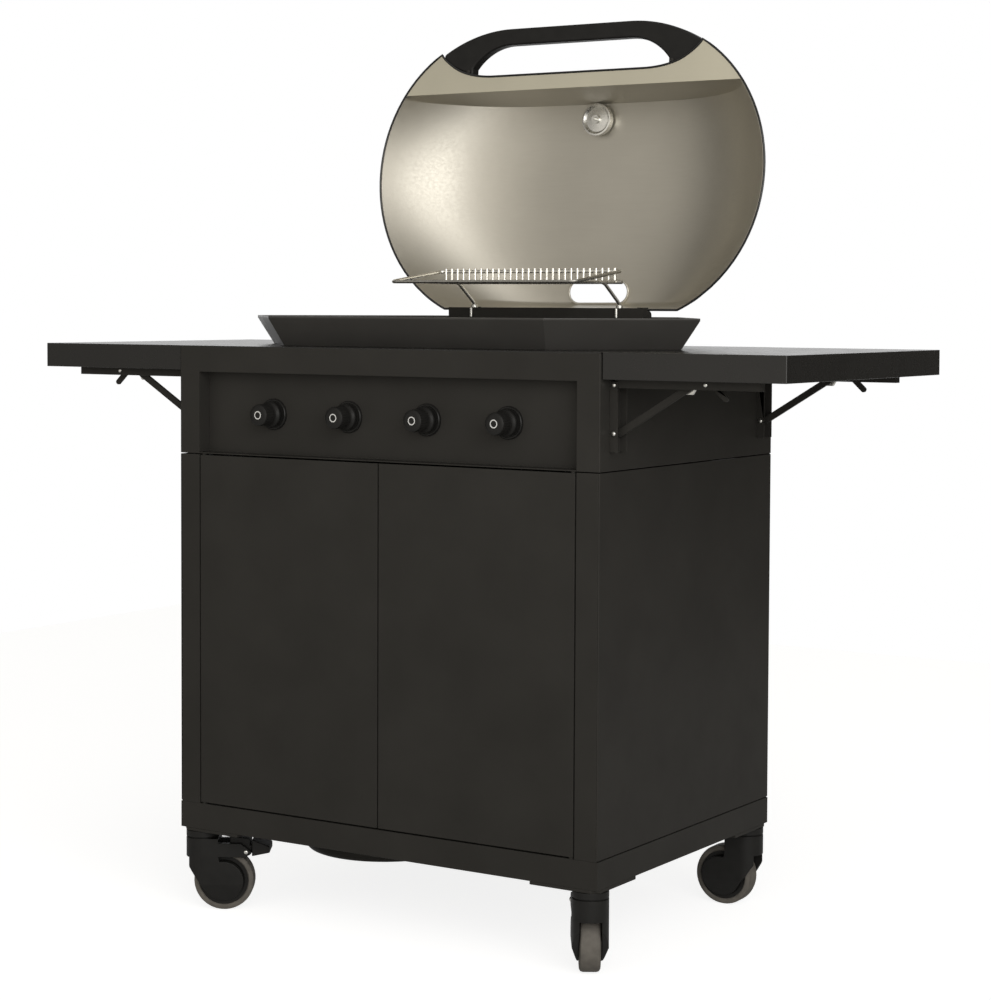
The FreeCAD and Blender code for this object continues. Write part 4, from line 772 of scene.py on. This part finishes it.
def notch_front(x):
    """Front edge of the lid: straight in the middle, then slanting out to the corners."""
    slope = NOTCH_DEPTH / (LID_CORNER - NOTCH_HALF)
    past = abs(x) - NOTCH_HALF
    if abs(past) < NOTCH_BLEND:
        rise = slope * (past + NOTCH_BLEND) ** 2 / (4 * NOTCH_BLEND)
    else:
        rise = slope * max(past, 0)
    return LID_FRONT - NOTCH_DEPTH + rise


def lid_spot(x, forward, height):
    """Point of the closed lid."""
    return Vector((x, HINGE.y - forward, HINGE.z + height))


def open_lid(obj):
    """Turn a piece drawn on the closed lid to the open position."""
    turn = Matrix.Translation(HINGE) @ Matrix.Rotation(LID_OPEN, 4, "X") @ Matrix.Translation(-HINGE)
    obj.matrix_world = turn @ obj.matrix_world
    apply_place(obj)
    return obj


def dish_stations():
    """Rows of the dish from the hinge to the front wall: distance forward and share of the full depth."""
    rows = [(LID_BACK, 0.0)]
    for step in range(REAR_ROWS + 1):
        angle = step / REAR_ROWS * math.pi / 2
        rows.append((DISH_BACK + DISH_REAR_CURVE * (1 - math.cos(angle)), math.sin(angle)))
    roof_start = DISH_BACK + DISH_REAR_CURVE
    crease = DISH_FRONT - DISH_FRONT_LEAN
    for step in range(1, ROOF_ROWS + 1):
        rows.append((roof_start + (crease - roof_start) * step / ROOF_ROWS, 1.0))
    for step in range(1, WALL_ROWS + 1):
        rows.append((crease + DISH_FRONT_LEAN * step / WALL_ROWS, 1 - step / WALL_ROWS))
    return rows


def lid_sheet(sizes):
    """Single skin of the lid: dish, front wall and notched flange."""
    stations = dish_stations()
    rows = len(stations) - 1 + FLANGE_ROWS
    outline = bowed(LID_OUTLINE)
    bpy.ops.mesh.primitive_grid_add(x_subdivisions=LID_COLUMNS, y_subdivisions=rows, size=1)
    obj = bpy.context.object
    for vertex in obj.data.vertices:
        column = round((vertex.co.x + 0.5) * LID_COLUMNS)
        row = round((vertex.co.y + 0.5) * rows)
        forward, rise = stations[min(row, len(stations) - 1)]
        share = (2 * (column - 1) / (LID_COLUMNS - 2)) - 1
        if column in (0, LID_COLUMNS):
            share, x = 1, math.copysign(outline(forward), column - 1)
        else:
            x = share * (outline(forward) - LID_RIM)
        height = sizes.dish_depth * rise * (1 - share ** DISH_FULLNESS)
        if row >= len(stations):
            across = x / outline(DISH_FRONT)
            step = (row - len(stations) + 1) / FLANGE_ROWS
            forward = DISH_FRONT + (notch_front(across * LID_CORNER) - DISH_FRONT) * step
            x = across * outline(forward)
        vertex.co = lid_spot(x, forward, height)
    return obj


def coat_lid(sheet):
    """One steel in the dish and a lighter copy of the same steel on the flange, which paints in the flange's
    brighter lit look; each followed by the enamel of its outer skin.
    """
    coats = ("steel", "lid_enamel", "flange", "lid_enamel")
    for coat in coats:
        sheet.data.materials.append(finish(coat))
    for face in sheet.data.polygons:
        on_flange = HINGE.y - face.center.y > DISH_FRONT
        face.material_index = coats.index("flange" if on_flange else "steel")


def face_into_dish(sheet):
    """Turn the skin's faces to look into the dish, down from the closed lid's roof."""
    enter_edit(sheet, "FACE")
    bpy.ops.mesh.select_all(action="SELECT")
    bpy.ops.mesh.normals_make_consistent(inside=False)
    leave_edit()
    if sheet.data.polygons[0].normal.z > 0:
        enter_edit(sheet, "FACE")
        bpy.ops.mesh.select_all(action="SELECT")
        bpy.ops.mesh.flip_normals()
        leave_edit()


def rolled_edge(sheet, radius):
    """Round bead along the open edge of a sheet."""
    enter_edit(sheet, "FACE")
    bpy.ops.mesh.select_all(action="SELECT")
    bpy.ops.mesh.region_to_loop()
    bpy.ops.mesh.duplicate()
    bpy.ops.mesh.separate(type="SELECTED")
    leave_edit()
    bead = [obj for obj in bpy.context.selected_objects if obj is not sheet][0]
    activate(bead)
    bpy.ops.object.convert(target="CURVE")
    bead = bpy.context.object
    bead.data.bevel_depth = radius
    bead.data.bevel_resolution = WIRE_FACETS
    bpy.ops.object.convert(target="MESH")
    return bpy.context.object


def thicken(sheet, thickness):
    """Give the lid its outer skin, in the coat that follows each inner one."""
    activate(sheet)
    bpy.ops.object.modifier_add(type="SOLIDIFY")
    solid = sheet.modifiers[-1]
    solid.thickness = thickness
    solid.offset = -1
    solid.material_offset = 1
    solid.material_offset_rim = 1
    bpy.ops.object.modifier_apply(modifier=solid.name)


def cut_vent(sheet, depth):
    """Cut the rounded vent slot through the lid near its hinge."""
    low = lid_spot(-VENT_HALF, VENT_MIDDLE + VENT_WIDTH / 2, depth * VENT_CUT_LOW)
    high = lid_spot(VENT_HALF, VENT_MIDDLE - VENT_WIDTH / 2, depth * VENT_CUT_HIGH)
    cutter = block(low, high)
    ends = VENT_WIDTH / 2 - NEAR
    enter_edit(cutter, "EDGE")
    pick_edges(cutter, lambda edge: abs(edge.verts[0].co.z - edge.verts[1].co.z) > NEAR)
    bpy.ops.mesh.bevel(offset=ends, segments=8, affect="EDGES")
    leave_edit()
    activate(sheet)
    bpy.ops.object.modifier_add(type="BOOLEAN")
    cut = sheet.modifiers[-1]
    cut.operation = "DIFFERENCE"
    cut.object = cutter
    bpy.ops.object.modifier_apply(modifier=cut.name)
    bpy.data.objects.remove(cutter)


def vent_lip(sizes):
    """Rolled lip round the vent slot, inside the lid."""
    height = sizes.dish_depth - sizes.lid_sheet
    straight, radius = VENT_HALF - VENT_WIDTH / 2, VENT_WIDTH / 2
    path = []
    for step in range(LIP_STEPS + 1):
        angle = step / LIP_STEPS * 2 * math.pi
        x = math.copysign(straight, math.cos(angle)) + radius * math.cos(angle)
        path.append(lid_spot(x, VENT_MIDDLE + radius * math.sin(angle), height))
    return wire(path, sizes.lid_bead, LIP_BEND)


def hinge_lug(sign):
    """Bored lug on the hinge line, with an arm to the lid."""
    start = lid_spot(sign * LUG_X, 0, 0)
    boss = turned(flat_ring(LUG_BORE, LUG_RADIUS, 0, LUG_WIDTH), start, (sign, 0, 0), steps=32)
    inner, outer = sorted((sign * LUG_X, sign * (LUG_X + LUG_WIDTH)))
    arm = block(lid_spot(inner, LID_BACK + ARM_REACH, 0), lid_spot(outer, LUG_RADIUS - ARM_BITE, ARM_THICK))
    return join([boss, arm])


def dress_lid(sizes):
    """Lid with its rolled edge, vent and hinge lugs."""
    sheet = lid_sheet(sizes)
    coat_lid(sheet)
    face_into_dish(sheet)
    bead = rolled_edge(sheet, sizes.lid_bead)
    thicken(sheet, sizes.lid_sheet)
    cut_vent(sheet, sizes.dish_depth)
    finish_piece(open_lid(sheet), "lid_dish", "lid", stands_for=("lid_shell",))
    finish_piece(open_lid(bead), "lid_bead", "lid", ("lid_enamel",))
    finish_piece(open_lid(vent_lip(sizes)), "vent_lip", "lid", ("steel",))
    lugs = join([hinge_lug(sign) for sign in SIDES.values()])
    finish_piece(open_lid(lugs), "lid_lugs", "lid", ("lid_enamel",))


def dress_handle(sizes):
    """Handle of the lid with its screws."""
    rounded_copy("lid_handle", sizes.handle_round, segments=4)
    screws = []
    for sign in SIDES.values():
        screws.append(rivet(lid_spot(sign * HANDLE_SCREW_X, HANDLE_SCREW_FORWARD, 0), (0, 0, -1)))
    finish_piece(open_lid(join(screws)), "handle_screws", "lid", ("black_coat",))


def thermometer_can():
    """Stem, neck and dished can inside the lid: radius and height above the roof."""
    return [
        (0, STEM_END), (STEM_RADIUS, STEM_END), (STEM_RADIUS, NECK_END), (NECK_RADIUS, NECK_END),
        (NECK_RADIUS, NECK_START), (0.0220, -0.0145), (0.0260, -0.0185), (0.0290, -0.0180),
        (CAN_RADIUS, -0.0150), (0.0280, -0.005), (0.0240, CAN_TOP), (COLLAR_RADIUS, CAN_TOP),
        (COLLAR_RADIUS, DIAL_BASE), (0, DIAL_BASE),
    ]


def thermometer_dial():
    """Rimmed dial on top of the lid: radius and height above the roof."""
    return [
        (0, DIAL_BASE), (0.025, DIAL_BASE), (DIAL_RADIUS, 0.003), (DIAL_RADIUS, 0.0074),
        (0.0245, 0.0084), (0.0225, 0.0080), (0.022, FACE_LOW), (0, FACE_LOW),
    ]


def dress_thermometer(sizes):
    """Thermometer through the lid's roof."""
    roof = sizes.dish_depth
    place = lid_spot(THERMO_X, THERMO_FORWARD, roof)
    case = join([turned(thermometer_can(), place, UP), turned(thermometer_dial(), place, UP)])
    finish_piece(open_lid(case), "thermometer_case", "lid", ("zinc",), ("lid_thermometer",))
    disc = [(0, FACE_HIGH), (FACE_RADIUS, FACE_HIGH), (FACE_RADIUS, FACE_LOW), (0, FACE_LOW)]
    face = turned(disc, place, UP)
    finish_piece(open_lid(face), "thermometer_face", "lid", ("mark",))
    tail = lid_spot(THERMO_X - NEEDLE_HALF, THERMO_FORWARD + NEEDLE_TAIL, roof + NEEDLE_LOW)
    tip = lid_spot(THERMO_X + NEEDLE_HALF, THERMO_FORWARD - NEEDLE_TIP, roof + NEEDLE_HIGH)
    needle = block(tail, tip)
    finish_piece(open_lid(needle), "thermometer_needle", "lid", ("black_plastic",))


# Warming rack

def rack_wires(count):
    """Frame, legs and cross wires of the warming rack."""
    low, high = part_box("warming_rack")
    front = low.y + FRAME_WIRE_RADIUS
    back = front + RACK_DEPTH
    fence = high.z - FRAME_WIRE_RADIUS
    rail = fence - RACK_COMB
    level = fence - RACK_FENCE
    leg_y = high.y - FRAME_WIRE_RADIUS
    leg_bend = low.z + RACK_LEG_DEPTH + RACK_LEG_BEND_RISE
    pieces = []
    for sign in SIDES.values():
        x = sign * RACK_HALF
        edge = [(0, front, level), (x, front, level), (x, back, rail), (0, back, rail)]
        pieces.append(wire(edge, FRAME_WIRE_RADIUS, FRAME_BEND))
        x = sign * RACK_LEG_X
        leg = [(x, back - RACK_LEG_LAP, level), (x, back, level), (x, leg_y, leg_bend), (x, leg_y, low.z)]
        pieces.append(wire(leg, FRAME_WIRE_RADIUS, LEG_BEND))
    crossbar = [(-RACK_HALF, back, level), (0, back, level), (RACK_HALF, back, level)]
    pieces.append(wire(crossbar, FRAME_WIRE_RADIUS))
    pitch = 2 * RACK_HALF / (count - 1)
    bend = back - FRAME_WIRE_RADIUS
    for number in range(1, count - 1):
        x = number * pitch - RACK_HALF
        pieces.append(wire([(x, front, level), (x, bend, level), (x, bend, fence)], WIRE_RADIUS))
    return join(pieces)


def rack_fittings():
    """Ferrules round the rack's legs, and posts on the front of the rail that holds them."""
    leg_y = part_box("warming_rack")[1].y - FRAME_WIRE_RADIUS
    rail_low, rail_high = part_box("rack_rail")
    post = [
        (0, 0), (RACK_POST_RADIUS, RACK_POST_ROUND), (RACK_POST_RADIUS, RACK_POST_LENGTH - RACK_POST_ROUND),
        (0, RACK_POST_LENGTH),
    ]
    ferrule = [
        (FRAME_WIRE_RADIUS, 0), (FERRULE_RADIUS, 0), (FERRULE_RADIUS, FERRULE_SHOULDER),
        (FERRULE_NECK, FERRULE_HEIGHT), (FRAME_WIRE_RADIUS, FERRULE_HEIGHT),
    ]
    fittings = []
    for sign in SIDES.values():
        x = sign * RACK_LEG_X
        foot = (x, rail_low.y - RACK_POST_RADIUS, rail_high.z - RACK_POST_LENGTH)
        fittings.append(turned(ferrule, (x, leg_y, rail_high.z), UP, steps=24))
        fittings.append(turned(post, foot, UP, steps=24))
    return join(fittings)


def dress_rack(sizes):
    """Warming rack and what holds it."""
    wires = rack_wires(sizes.rack_wires)
    finish_piece(wires, "rack_wires", "warming_rack", ("wire",), ("warming_rack",))
    finish_piece(rack_fittings(), "rack_fittings", "cabinet", ("zinc",))


# Controls

def grip_flutes(cap, centre, count):
    """Press shallow flutes into the grip of a turned cap."""

    def in_flute(spot):
        offset = spot - centre
        turn = math.atan2(offset.z, offset.x) / (2 * math.pi) * count
        on_grip = abs(math.hypot(offset.x, offset.z) - KNOB_GRIP) < NEAR
        return on_grip and abs(turn - round(turn)) < FLUTE_HALF

    enter_edit(cap)
    pick_vertices(cap, in_flute)
    bpy.ops.transform.resize(value=(FLUTE_SHRINK, 1, FLUTE_SHRINK), center_override=centre)
    leave_edit()


def knob_profile(length):
    """Skirt, waist and grip of a knob: radius and distance from its back."""
    return [
        (0, 0), (0.0200, 0), (KNOB_SKIRT, 0.0010), (KNOB_SKIRT, 0.0040), (0.0198, 0.0058), (0.0178, 0.0075),
        (KNOB_WAIST, 0.0100), (KNOB_WAIST, 0.0125), (KNOB_GRIP, 0.0150), (KNOB_GRIP, length - 0.0045),
        (0.0166, length - 0.0018), (0.0145, length - 0.0004), (KNOB_FACE, length), (0, length),
    ]


def dress_knob(number, flutes):
    """Fluted knob with a plain ring on its face."""
    node = f"knob_{number}"
    low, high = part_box(node)
    back = Vector(((low.x + high.x) / 2, high.y, (low.z + high.z) / 2))
    length = high.y - low.y - RING_THICK
    cap = turned(knob_profile(length), back, FRONTWARD, steps=4 * flutes)
    grip_flutes(cap, back, flutes)
    finish_piece(cap, node + "_cap", BODIES[node], ("black_plastic",), (node,))
    ring = turned(flat_ring(RING_INNER, RING_OUTER, length, length + RING_THICK), back, FRONTWARD)
    finish_piece(ring, node + "_ring", BODIES[node], ("mark",))


def bezel_profile(depth):
    """Flat disc with a raised rim: radius and distance from its back."""
    floor = depth - BEZEL_RIM
    return [
        (BEZEL_BORE, 0), (BEZEL_RADIUS, 0), (BEZEL_RADIUS, depth - 0.0020), (0.0250, floor), (0.0240, depth),
        (0.0225, depth), (0.0215, floor), (BEZEL_BORE, floor), (BEZEL_BORE, 0),
    ]


def dress_bezels():
    """Glossy discs behind the knobs."""
    low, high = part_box("knob_bezels")
    profile = bezel_profile(high.y - low.y)
    discs = []
    for number in KNOBS:
        place = JOINTS[f"knob_{number}_turn"]["pos_m"]
        discs.append(turned(profile, (place[0], high.y, place[2]), FRONTWARD, steps=64))
    finish_piece(join(discs), "bezel_discs", "cabinet", ("gloss_plastic",), ("knob_bezels",))


# Casters

def wheel_profile(half):
    """Closed profile of a wheel from one half of it: radius and distance from the wheel's middle."""
    near = [(radius, -out) for radius, out in half]
    far = [(radius, out) for radius, out in reversed(half)]
    return near + far + near[:1]


def dress_wheel(corner):
    """Tyre and hub of one caster."""
    joint = JOINTS["wheel_turn_" + corner]
    node = "caster_wheel_" + corner
    tread = wheel_profile([
        (TYRE_INNER, 0.0145), (0.0420, WHEEL_HALF), (0.0455, WHEEL_HALF), (0.0488, 0.0140),
        (TYRE_RADIUS, 0.0100),
    ])
    hub = wheel_profile([
        (HUB_BORE, WHEEL_HALF), (0.0120, WHEEL_HALF), (0.0130, 0.0115), (0.0300, 0.0105), (0.0345, 0.0135),
        (HUB_RADIUS, 0.0135),
    ])
    tyre = turned(tread, joint["pos_m"], joint["axis"], steps=72)
    finish_piece(tyre, f"tyre_{corner}", BODIES[node], ("tyre",), (node,))
    disc = turned(hub, joint["pos_m"], joint["axis"])
    finish_piece(disc, f"hub_{corner}", BODIES[node], ("black_plastic",))


def dress_brake(corner, radius):
    """Brake pedal, with a rivet head at each end of its pin."""
    pedal, fork = "caster_brake_" + corner, "caster_fork_" + corner
    rounded_copy(pedal, radius, segments=3)
    joint = JOINTS["brake_pedal_" + corner]
    place, axis = Vector(joint["pos_m"]), Vector(joint["axis"])
    heads = [rivet(place + axis * sign * BRAKE_PIN_HALF, axis * sign) for sign in SIDES.values()]
    finish_piece(join(heads), f"brake_rivets_{corner}", BODIES[fork], ("zinc",))


def dress_fork(corner, radius):
    """Caster fork with a taller window over the wheel."""
    node = "caster_fork_" + corner
    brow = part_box(node)[1].z - BROW_DOWN
    copy = copy_of(node)
    move_level(copy, brow, BROW_RISE)
    round_edges(copy, radius, segments=3)
    show_copy(copy, node)


def dress_casters(sizes):
    """Wheels, forks and front brakes."""
    for corner in CORNERS:
        dress_wheel(corner)
        dress_fork(corner, sizes.fork_round)
    for corner in ("front_left", "front_right"):
        dress_brake(corner, sizes.casting_round)


# Pieces that keep their CAD shape

def dress_plain_nodes():
    """Give every CAD node its finish, also where a piece hides it."""
    for node, obj in frame["nodes"].items():
        obj.data.materials.clear()
        obj.data.materials.append(finish(SLOTS[node]))


# Studio

def combined(tree, operation, *values):
    """Output of a maths node, held between 0 and 1; each value is a number or another node's output."""
    node = tree.nodes.new("ShaderNodeMath")
    node.operation = operation
    node.use_clamp = True
    for socket, value in zip(node.inputs, values):
        if isinstance(value, float):
            socket.default_value = value
        else:
            tree.links.new(value, socket)
    return node.outputs["Value"]


def shown_rays(tree):
    """The rays that see the background, as two shares: camera rays, and glossy or transmission rays."""
    rays = tree.nodes.new("ShaderNodeLightPath")
    mirrored = combined(tree, "ADD", rays.outputs["Is Glossy Ray"], rays.outputs["Is Transmission Ray"])
    return rays.outputs["Is Camera Ray"], mirrored


def facing(tree, direction, start, end, low, high):
    """Value that grows from low to high as the world's direction nears the given one."""
    place = tree.nodes.new("ShaderNodeTexCoord")
    toward = tree.nodes.new("ShaderNodeVectorMath")
    toward.operation = "DOT_PRODUCT"
    toward.inputs[1].default_value = Vector(direction).normalized()
    spread = tree.nodes.new("ShaderNodeMapRange")
    spread.interpolation_type = "SMOOTHSTEP"
    for name, value in (("From Min", start), ("From Max", end), ("To Min", low), ("To Max", high)):
        spread.inputs[name].default_value = value
    tree.links.new(place.outputs["Generated"], toward.inputs[0])
    tree.links.new(toward.outputs["Value"], spread.inputs["Value"])
    return spread.outputs["Result"]


def studio_floor():
    """Pale floor that shows white round the grill and keeps its shadow."""
    bpy.ops.mesh.primitive_plane_add(size=FLOOR_SIZE)
    floor = bpy.context.object
    floor.name = "studio_floor"
    material, shader = start_finish("studio_floor")
    shader.inputs["Specular IOR Level"].default_value = 0.0
    vary_colour(material, shader, FLOOR_COLOUR, amount=0.01, cells=0.5)
    vary_roughness(material, shader, low=0.90, high=0.95, cells=0.5)
    tree = material.node_tree
    camera, mirrored = shown_rays(tree)
    reflected = combined(tree, "MULTIPLY", mirrored, FLOOR_MIRRORED)
    glow = combined(tree, "MULTIPLY_ADD", camera, FLOOR_GLOW, reflected)
    tree.links.new(glow, shader.inputs["Emission Strength"])
    shader.inputs["Emission Color"].default_value = WHITE
    floor.data.materials.append(material)


def studio_world():
    """White behind the grill; round about it, light that is strongest in front on the right."""
    world = bpy.data.worlds.new("studio")
    world.use_nodes = True
    tree = world.node_tree
    background = tree.nodes["Background"]
    room = facing(tree, ROOM_LIGHT, ROOM_START, ROOM_END, ROOM_DIM, ROOM_BRIGHT)
    backdrop = facing(tree, BACKDROP, BACKDROP_START, BACKDROP_END, low=0.0, high=1.0)
    camera, mirrored = shown_rays(tree)
    shown = combined(tree, "MAXIMUM", camera, combined(tree, "MULTIPLY", mirrored, backdrop))
    strength = tree.nodes.new("ShaderNodeMix")
    strength.inputs["B"].default_value = 1.0
    colour = tree.nodes.new("ShaderNodeMixRGB")
    colour.inputs["Color1"].default_value = ROOM_COLOUR
    colour.inputs["Color2"].default_value = WHITE
    tree.links.new(shown, strength.inputs["Factor"])
    tree.links.new(shown, colour.inputs["Fac"])
    tree.links.new(room, strength.inputs["A"])
    tree.links.new(strength.outputs["Result"], background.inputs["Strength"])
    tree.links.new(colour.outputs["Color"], background.inputs["Color"])
    bpy.context.scene.world = world


def soft_lamp(name, place, target, size, power):
    """Large soft lamp that points at a target."""
    bpy.ops.object.light_add(type="AREA", location=place)
    lamp = bpy.context.object
    lamp.name = name
    lamp.data.shape = "RECTANGLE"
    lamp.data.size, lamp.data.size_y = size
    lamp.data.energy = power
    lamp.rotation_euler = (Vector(target) - Vector(place)).to_track_quat("-Z", "Y").to_euler()


def photo_camera():
    """Camera at the photo's viewpoint."""
    forward = Vector((
        -math.sin(CAMERA_YAW) * math.cos(CAMERA_PITCH), math.cos(CAMERA_YAW) * math.cos(CAMERA_PITCH),
        -math.sin(CAMERA_PITCH),
    ))
    level = Vector((math.cos(CAMERA_YAW), math.sin(CAMERA_YAW), 0))
    upright = level.cross(forward)
    right = level * math.cos(CAMERA_ROLL) + upright * math.sin(CAMERA_ROLL)
    up = upright * math.cos(CAMERA_ROLL) - level * math.sin(CAMERA_ROLL)
    bpy.ops.object.camera_add()
    camera = bpy.context.object
    camera.name = "photo_camera"
    turn = Matrix((right, up, -forward)).transposed().to_4x4()
    camera.matrix_world = Matrix.Translation(CAMERA_PLACE) @ turn
    camera.data.lens = CAMERA_LENS
    camera.data.sensor_width = CAMERA_SENSOR
    camera.data.shift_y = CAMERA_SHIFT
    bpy.context.scene.camera = camera


def set_stage():
    """Floor, light and camera."""
    studio_floor()
    studio_world()
    soft_lamp("front_right_softbox", place=(3.4, -3.2, 2.0), target=(0, 0, 0.9), size=(3.4, 3.0), power=76)
    soft_lamp("overhead_softbox", place=(0.2, -0.2, 3.6), target=(0, 0, 0.6), size=(3.0, 2.4), power=10)
    photo_camera()
    bpy.context.scene.view_settings.view_transform = "Standard"


# Operators

class GRILL_OT_cabinet(bpy.types.Operator):
    """Round the cabinet's panels and doors"""
    bl_idname = "grill.cabinet"
    bl_label = "Cabinet"
    bl_options = {"REGISTER", "UNDO"}

    def execute(self, context):
        dress_cabinet(context.scene.grill_sizes)
        return {"FINISHED"}


class GRILL_OT_basin(bpy.types.Operator):
    """Round the basin and the cooking surfaces"""
    bl_idname = "grill.basin"
    bl_label = "Basin"
    bl_options = {"REGISTER", "UNDO"}

    def execute(self, context):
        dress_basin(context.scene.grill_sizes)
        return {"FINISHED"}


class GRILL_OT_shelves(bpy.types.Operator):
    """Round the shelves and brackets and add their rivets and tabs"""
    bl_idname = "grill.shelves"
    bl_label = "Shelves"
    bl_options = {"REGISTER", "UNDO"}

    def execute(self, context):
        dress_shelves(context.scene.grill_sizes)
        dress_rivets()
        dress_tabs()
        return {"FINISHED"}


class GRILL_OT_lid(bpy.types.Operator):
    """Model the lid's dish, rolled edge and hinge lugs"""
    bl_idname = "grill.lid"
    bl_label = "Lid"
    bl_options = {"REGISTER", "UNDO"}

    def execute(self, context):
        dress_lid(context.scene.grill_sizes)
        return {"FINISHED"}


class GRILL_OT_handle(bpy.types.Operator):
    """Model the lid's handle and thermometer"""
    bl_idname = "grill.handle"
    bl_label = "Handle"
    bl_options = {"REGISTER", "UNDO"}

    def execute(self, context):
        dress_handle(context.scene.grill_sizes)
        dress_thermometer(context.scene.grill_sizes)
        return {"FINISHED"}


class GRILL_OT_rack(bpy.types.Operator):
    """Bend the wires of the warming rack"""
    bl_idname = "grill.rack"
    bl_label = "Rack"
    bl_options = {"REGISTER", "UNDO"}

    def execute(self, context):
        dress_rack(context.scene.grill_sizes)
        return {"FINISHED"}


class GRILL_OT_knobs(bpy.types.Operator):
    """Turn the knobs and their bezels"""
    bl_idname = "grill.knobs"
    bl_label = "Knobs"
    bl_options = {"REGISTER", "UNDO"}

    def execute(self, context):
        for number in KNOBS:
            dress_knob(number, context.scene.grill_sizes.knob_flutes)
        dress_bezels()
        return {"FINISHED"}


class GRILL_OT_casters(bpy.types.Operator):
    """Turn the wheels and round the forks and brake pedals"""
    bl_idname = "grill.casters"
    bl_label = "Casters"
    bl_options = {"REGISTER", "UNDO"}

    def execute(self, context):
        dress_casters(context.scene.grill_sizes)
        return {"FINISHED"}


class GRILL_OT_plain_nodes(bpy.types.Operator):
    """Give the other CAD pieces their finishes"""
    bl_idname = "grill.plain_nodes"
    bl_label = "Finishes"
    bl_options = {"REGISTER", "UNDO"}

    def execute(self, context):
        dress_plain_nodes()
        return {"FINISHED"}


class GRILL_OT_stage(bpy.types.Operator):
    """Set up floor, light and camera"""
    bl_idname = "grill.stage"
    bl_label = "Studio"
    bl_options = {"REGISTER", "UNDO"}

    def execute(self, context):
        set_stage()
        return {"FINISHED"}


class GRILL_PT_panel(bpy.types.Panel):
    """Sizes, colours and steps of the grill"""
    bl_label = "Gas grill"
    bl_idname = "GRILL_PT_panel"
    bl_space_type = "VIEW_3D"
    bl_region_type = "UI"
    bl_category = "Grill"

    def draw(self, context):
        for group in (context.scene.grill_sizes, context.scene.grill_colours):
            for name in group.__annotations__:
                self.layout.prop(group, name)
        for step in STEPS:
            self.layout.operator(step.bl_idname)


STEPS = (
    GRILL_OT_cabinet, GRILL_OT_basin, GRILL_OT_shelves, GRILL_OT_lid, GRILL_OT_handle, GRILL_OT_rack,
    GRILL_OT_knobs, GRILL_OT_casters, GRILL_OT_plain_nodes, GRILL_OT_stage,
)
CLASSES = (GrillSizes, GrillColours, *STEPS, GRILL_PT_panel)


def register():
    for cls in CLASSES:
        bpy.utils.register_class(cls)
    bpy.types.Scene.grill_sizes = PointerProperty(type=GrillSizes)
    bpy.types.Scene.grill_colours = PointerProperty(type=GrillColours)


def unregister():
    del bpy.types.Scene.grill_colours
    del bpy.types.Scene.grill_sizes
    for cls in reversed(CLASSES):
        bpy.utils.unregister_class(cls)


def main():
    register()
    bpy.ops.grill.cabinet()
    bpy.ops.grill.basin()
    bpy.ops.grill.shelves()
    bpy.ops.grill.lid()
    bpy.ops.grill.handle()
    bpy.ops.grill.rack()
    bpy.ops.grill.knobs()
    bpy.ops.grill.casters()
    bpy.ops.grill.plain_nodes()
    bpy.ops.grill.stage()


if __name__ == "__main__":
    main()
